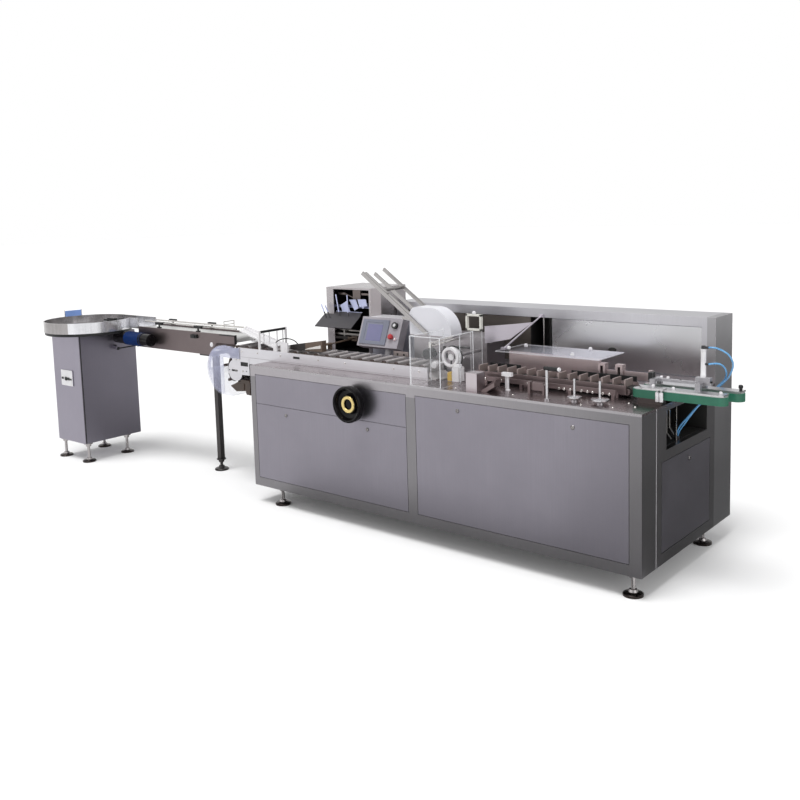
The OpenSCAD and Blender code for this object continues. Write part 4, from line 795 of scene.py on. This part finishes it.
make("yellow_block", yellow, block(1357.2, 1386.8, 204.2, 235.8, table_z + 0.4, 907), slot="cylinder_white", cut=1.5)
make("white_block", white, block(1394.2, 1440.8, 195.2, 246.8, table_z + 0.4, 939),
     block(1402, 1433, 204, 238, 938, 951), slot="cylinder_white", cut=2.0)
make("feeder_brace", bright, rod((1215, 250, 1048), (1330, 300, 1086), 4),
     rod((1215, 258, 1030), (1330, 310, 1070), 4), block(1208, 1222, 240, 270, 1024, 1056),
     rod((1214, 268, 1040), (1214, 521, 1040), 5), slot="guide_steel", cut=0)

# Guide sheet
# Bent stainless sheet that leads the cartons to the closing lane, and its stay rod.
dress(steel("guide_sheet", (0.60, 0.56, 0.62), (0.3, 0.4), drawn_grain), "guide_trough")

# Closing section
# Steel lane with a light brown back plate and slotted brackets; light lugs on a black chain.
# Adjusters with bright discs, a black T-handle and white blocks; white knobs on the clear cover.
# The lane's front part, before -0.08 m, is painted dark reddish brown, a painted shade.
dress(steel("lane_steel", (0.20, 0.155, 0.155), (0.3, 0.42), long_grain, bump=0.06, size=5.0, metal=0.7,
            beyond=(1, -0.08, (0.51, 0.42, 0.425))), "carton_lane")
make("lane_rear_strip", satin_black,
     *[block(x0, x1, 397, 401, 920.2, 946) for x0, x1 in ((1504, 1700), (2000, 2356))], slot="black_plastic", cut=0.5)
dress(parted("lugs_on_chain", 2, [((0.02, 0.019, 0.018), 0.0, 0.55), ((0.40, 0.325, 0.31), 0.4, 0.36)], [0.9085],
             radius=0.001), "lug_chain")
dress(parted("adjusters", 0, [((0.74, 0.73, 0.75), 0.0, 0.4), ((0.62, 0.61, 0.63), 1.0, 0.2)], [1.6]),
      "lane_adjusters")
cover_z = 1003.3
cover_knobs = ((1580, 640), (1960, 480), (1545, 520), (1951, 690))
make("cover_knobs", white, *[turned((x, y, cover_z), "z", knob, 20) for x, y in cover_knobs], slot="cylinder_white",
     cut=0)
bar_axis = (0, 53, 1012)
make("t_handle_grip", satin_black,
     turned(bar_axis, "x", [(0, 2047), (8, 2047), (9.9, 2049), (9.9, 2122), (8, 2124), (0, 2124)], 20),
     slot="black_plastic", cut=0)
make("t_handle_end", white,
     turned(bar_axis, "x", [(0, 2124), (9, 2124), (10, 2126), (10, 2132), (7, 2135), (0, 2135)], 20),
     slot="cylinder_white", cut=0)
# Black inserts deep in the two bracket slots paint the shade in them; a third black strip lies on the front of the
# post.
make("bracket_slots", black, *[block(x + 13.4, x + 26.6, 455, 459.6, 923, 975.5) for x in (2128, 2222)],
     block(2397, 2409, 438.6, 440.4, 868, 966), cut=0.3)
lane_front = 226
lane_bolts = [(x, lane_front, 883) for x in (2027, 2055, 2089, 2150, 2183, 2210, 2264, 2298)]
lane_bolts += [(x, lane_front, 892) for x in (1590, 1690, 1850, 1940)]
screws("lane_screws", bright, "y", lane_bolts, 1.3)
table_bolts = ((1520, 60), (1860, 70), (2120, 150), (2400, 60), (2480, 120), (2250, 40), (2420, 180))
screws("table_screws", bright, "z", [(x, y, table_z) for x, y in table_bolts], 1.2, -1)

# Discharge
# Satin plates with their feet painted dark as shade under the belts, green flat belts, white guide rollers, grey arm,
# white cylinder, black fittings.
# Inside the end window: a dark lining as painted shade, one light post and two thin rods.
# Below 0.9 m the plates are painted dark, a painted shade.
dress(steel("plate_satin", (0.09, 0.078, 0.075), (0.28, 0.4), fine_grain, beyond=(2, 0.9, (0.70, 0.70, 0.71))),
      "discharge_frames")
dress(coated("belt_green", (0.022, 0.145, 0.088), (0.016, 0.118, 0.07), (0.05, 0.22, 0.15), (0.35, 0.5), size=14.0,
             bump=0.08), "discharge_belts")
dress(coated("arm_grey", (0.38, 0.37, 0.39), (0.28, 0.27, 0.29), (0.7, 0.7, 0.72), (0.25, 0.38), metal=0.5,
             size=26.0), "ejector")
dress(coated("fitting_black", (0.015, 0.015, 0.018), (0.03, 0.03, 0.034), (0.09, 0.09, 0.09), (0.3, 0.42),
             size=25.0), "hose_fittings")
make("guide_roller_sleeves", white,
     *[turned((x, 202, 0), "z", [(0, 879.4), (7.6, 879.4), (8.7, 881), (8.7, 920), (7.6, 922.6), (3.2, 922.6)], 20)
       for x in (2548, 2567)], slot="cylinder_white", cut=0)
low_knob = [(0, 0), (7, 0), (7.5, 3), (7.5, 7), (5.5, 11), (0, 12)]
plate_z, arm_y, arm_z = 934, 310, 968
make("plate_knobs", white,
     *[turned((x, y, plate_z), "z", low_knob, 16) for x, y in ((2502, 262), (2606, 246), (2822, 250))],
     *[turned((x, arm_y, arm_z), "z", low_knob, 16) for x in (2520, 2552)], slot="cylinder_white", cut=0)
make("cylinder_sleeve", white,
     turned((2718, arm_y, 0), "z",
            [(11.1, 990.2), (12.4, 990.2), (12.4, 1002), (11.5, 1004), (11.5, 1106), (12.4, 1108), (12.4, 1119),
             (11.1, 1119.6)], 28, True), slot="cylinder_white", cut=0)
make("arm_screws", satin_black, turned((2612, arm_y, arm_z), "z", [(0, 2), (4, 2), (4, 0), (0, 0)], 12),
     turned((2758, 303, arm_z), "z", [(0, 8), (6, 8), (6, 0), (0, 0)], 12), slot="black_plastic", cut=0)
make("ejector_stop", satin_black, block(2460.3, 2483.7, 295.3, 324.7, 955.6, 992.7), slot="black_plastic", cut=1.0)
make("rear_plate_knob", satin_black,
     turned((2866, 370, plate_z), "z", [(0, 0), (7, 0), (7, 10), (10, 12), (10, 22), (7, 26), (0, 26)], 18),
     slot="black_plastic", cut=0)
make("window_shade_lining", black, block(2170, 2171.5, 258, 739, 646, 829), block(2170, 2568.5, 257.4, 259, 646, 829),
     block(2170, 2568.5, 738, 739.6, 646, 829), block(2170, 2568.5, 258, 739, 828.4, 829.8),
     block(2170, 2540, 258, 739, 645.2, 646.4), cut=0)
make("window_post", bright, block(2536, 2544, 426, 434, 646, 829), rod((2550, 301, 717), (2550, 352, 676), 3, 8),
     rod((2548, 337, 736), (2548, 386, 690), 3, 8), block(2544, 2552, 296, 306, 712, 829),
     block(2543, 2551, 330, 340, 732, 829), slot="guide_steel", cut=0.6)
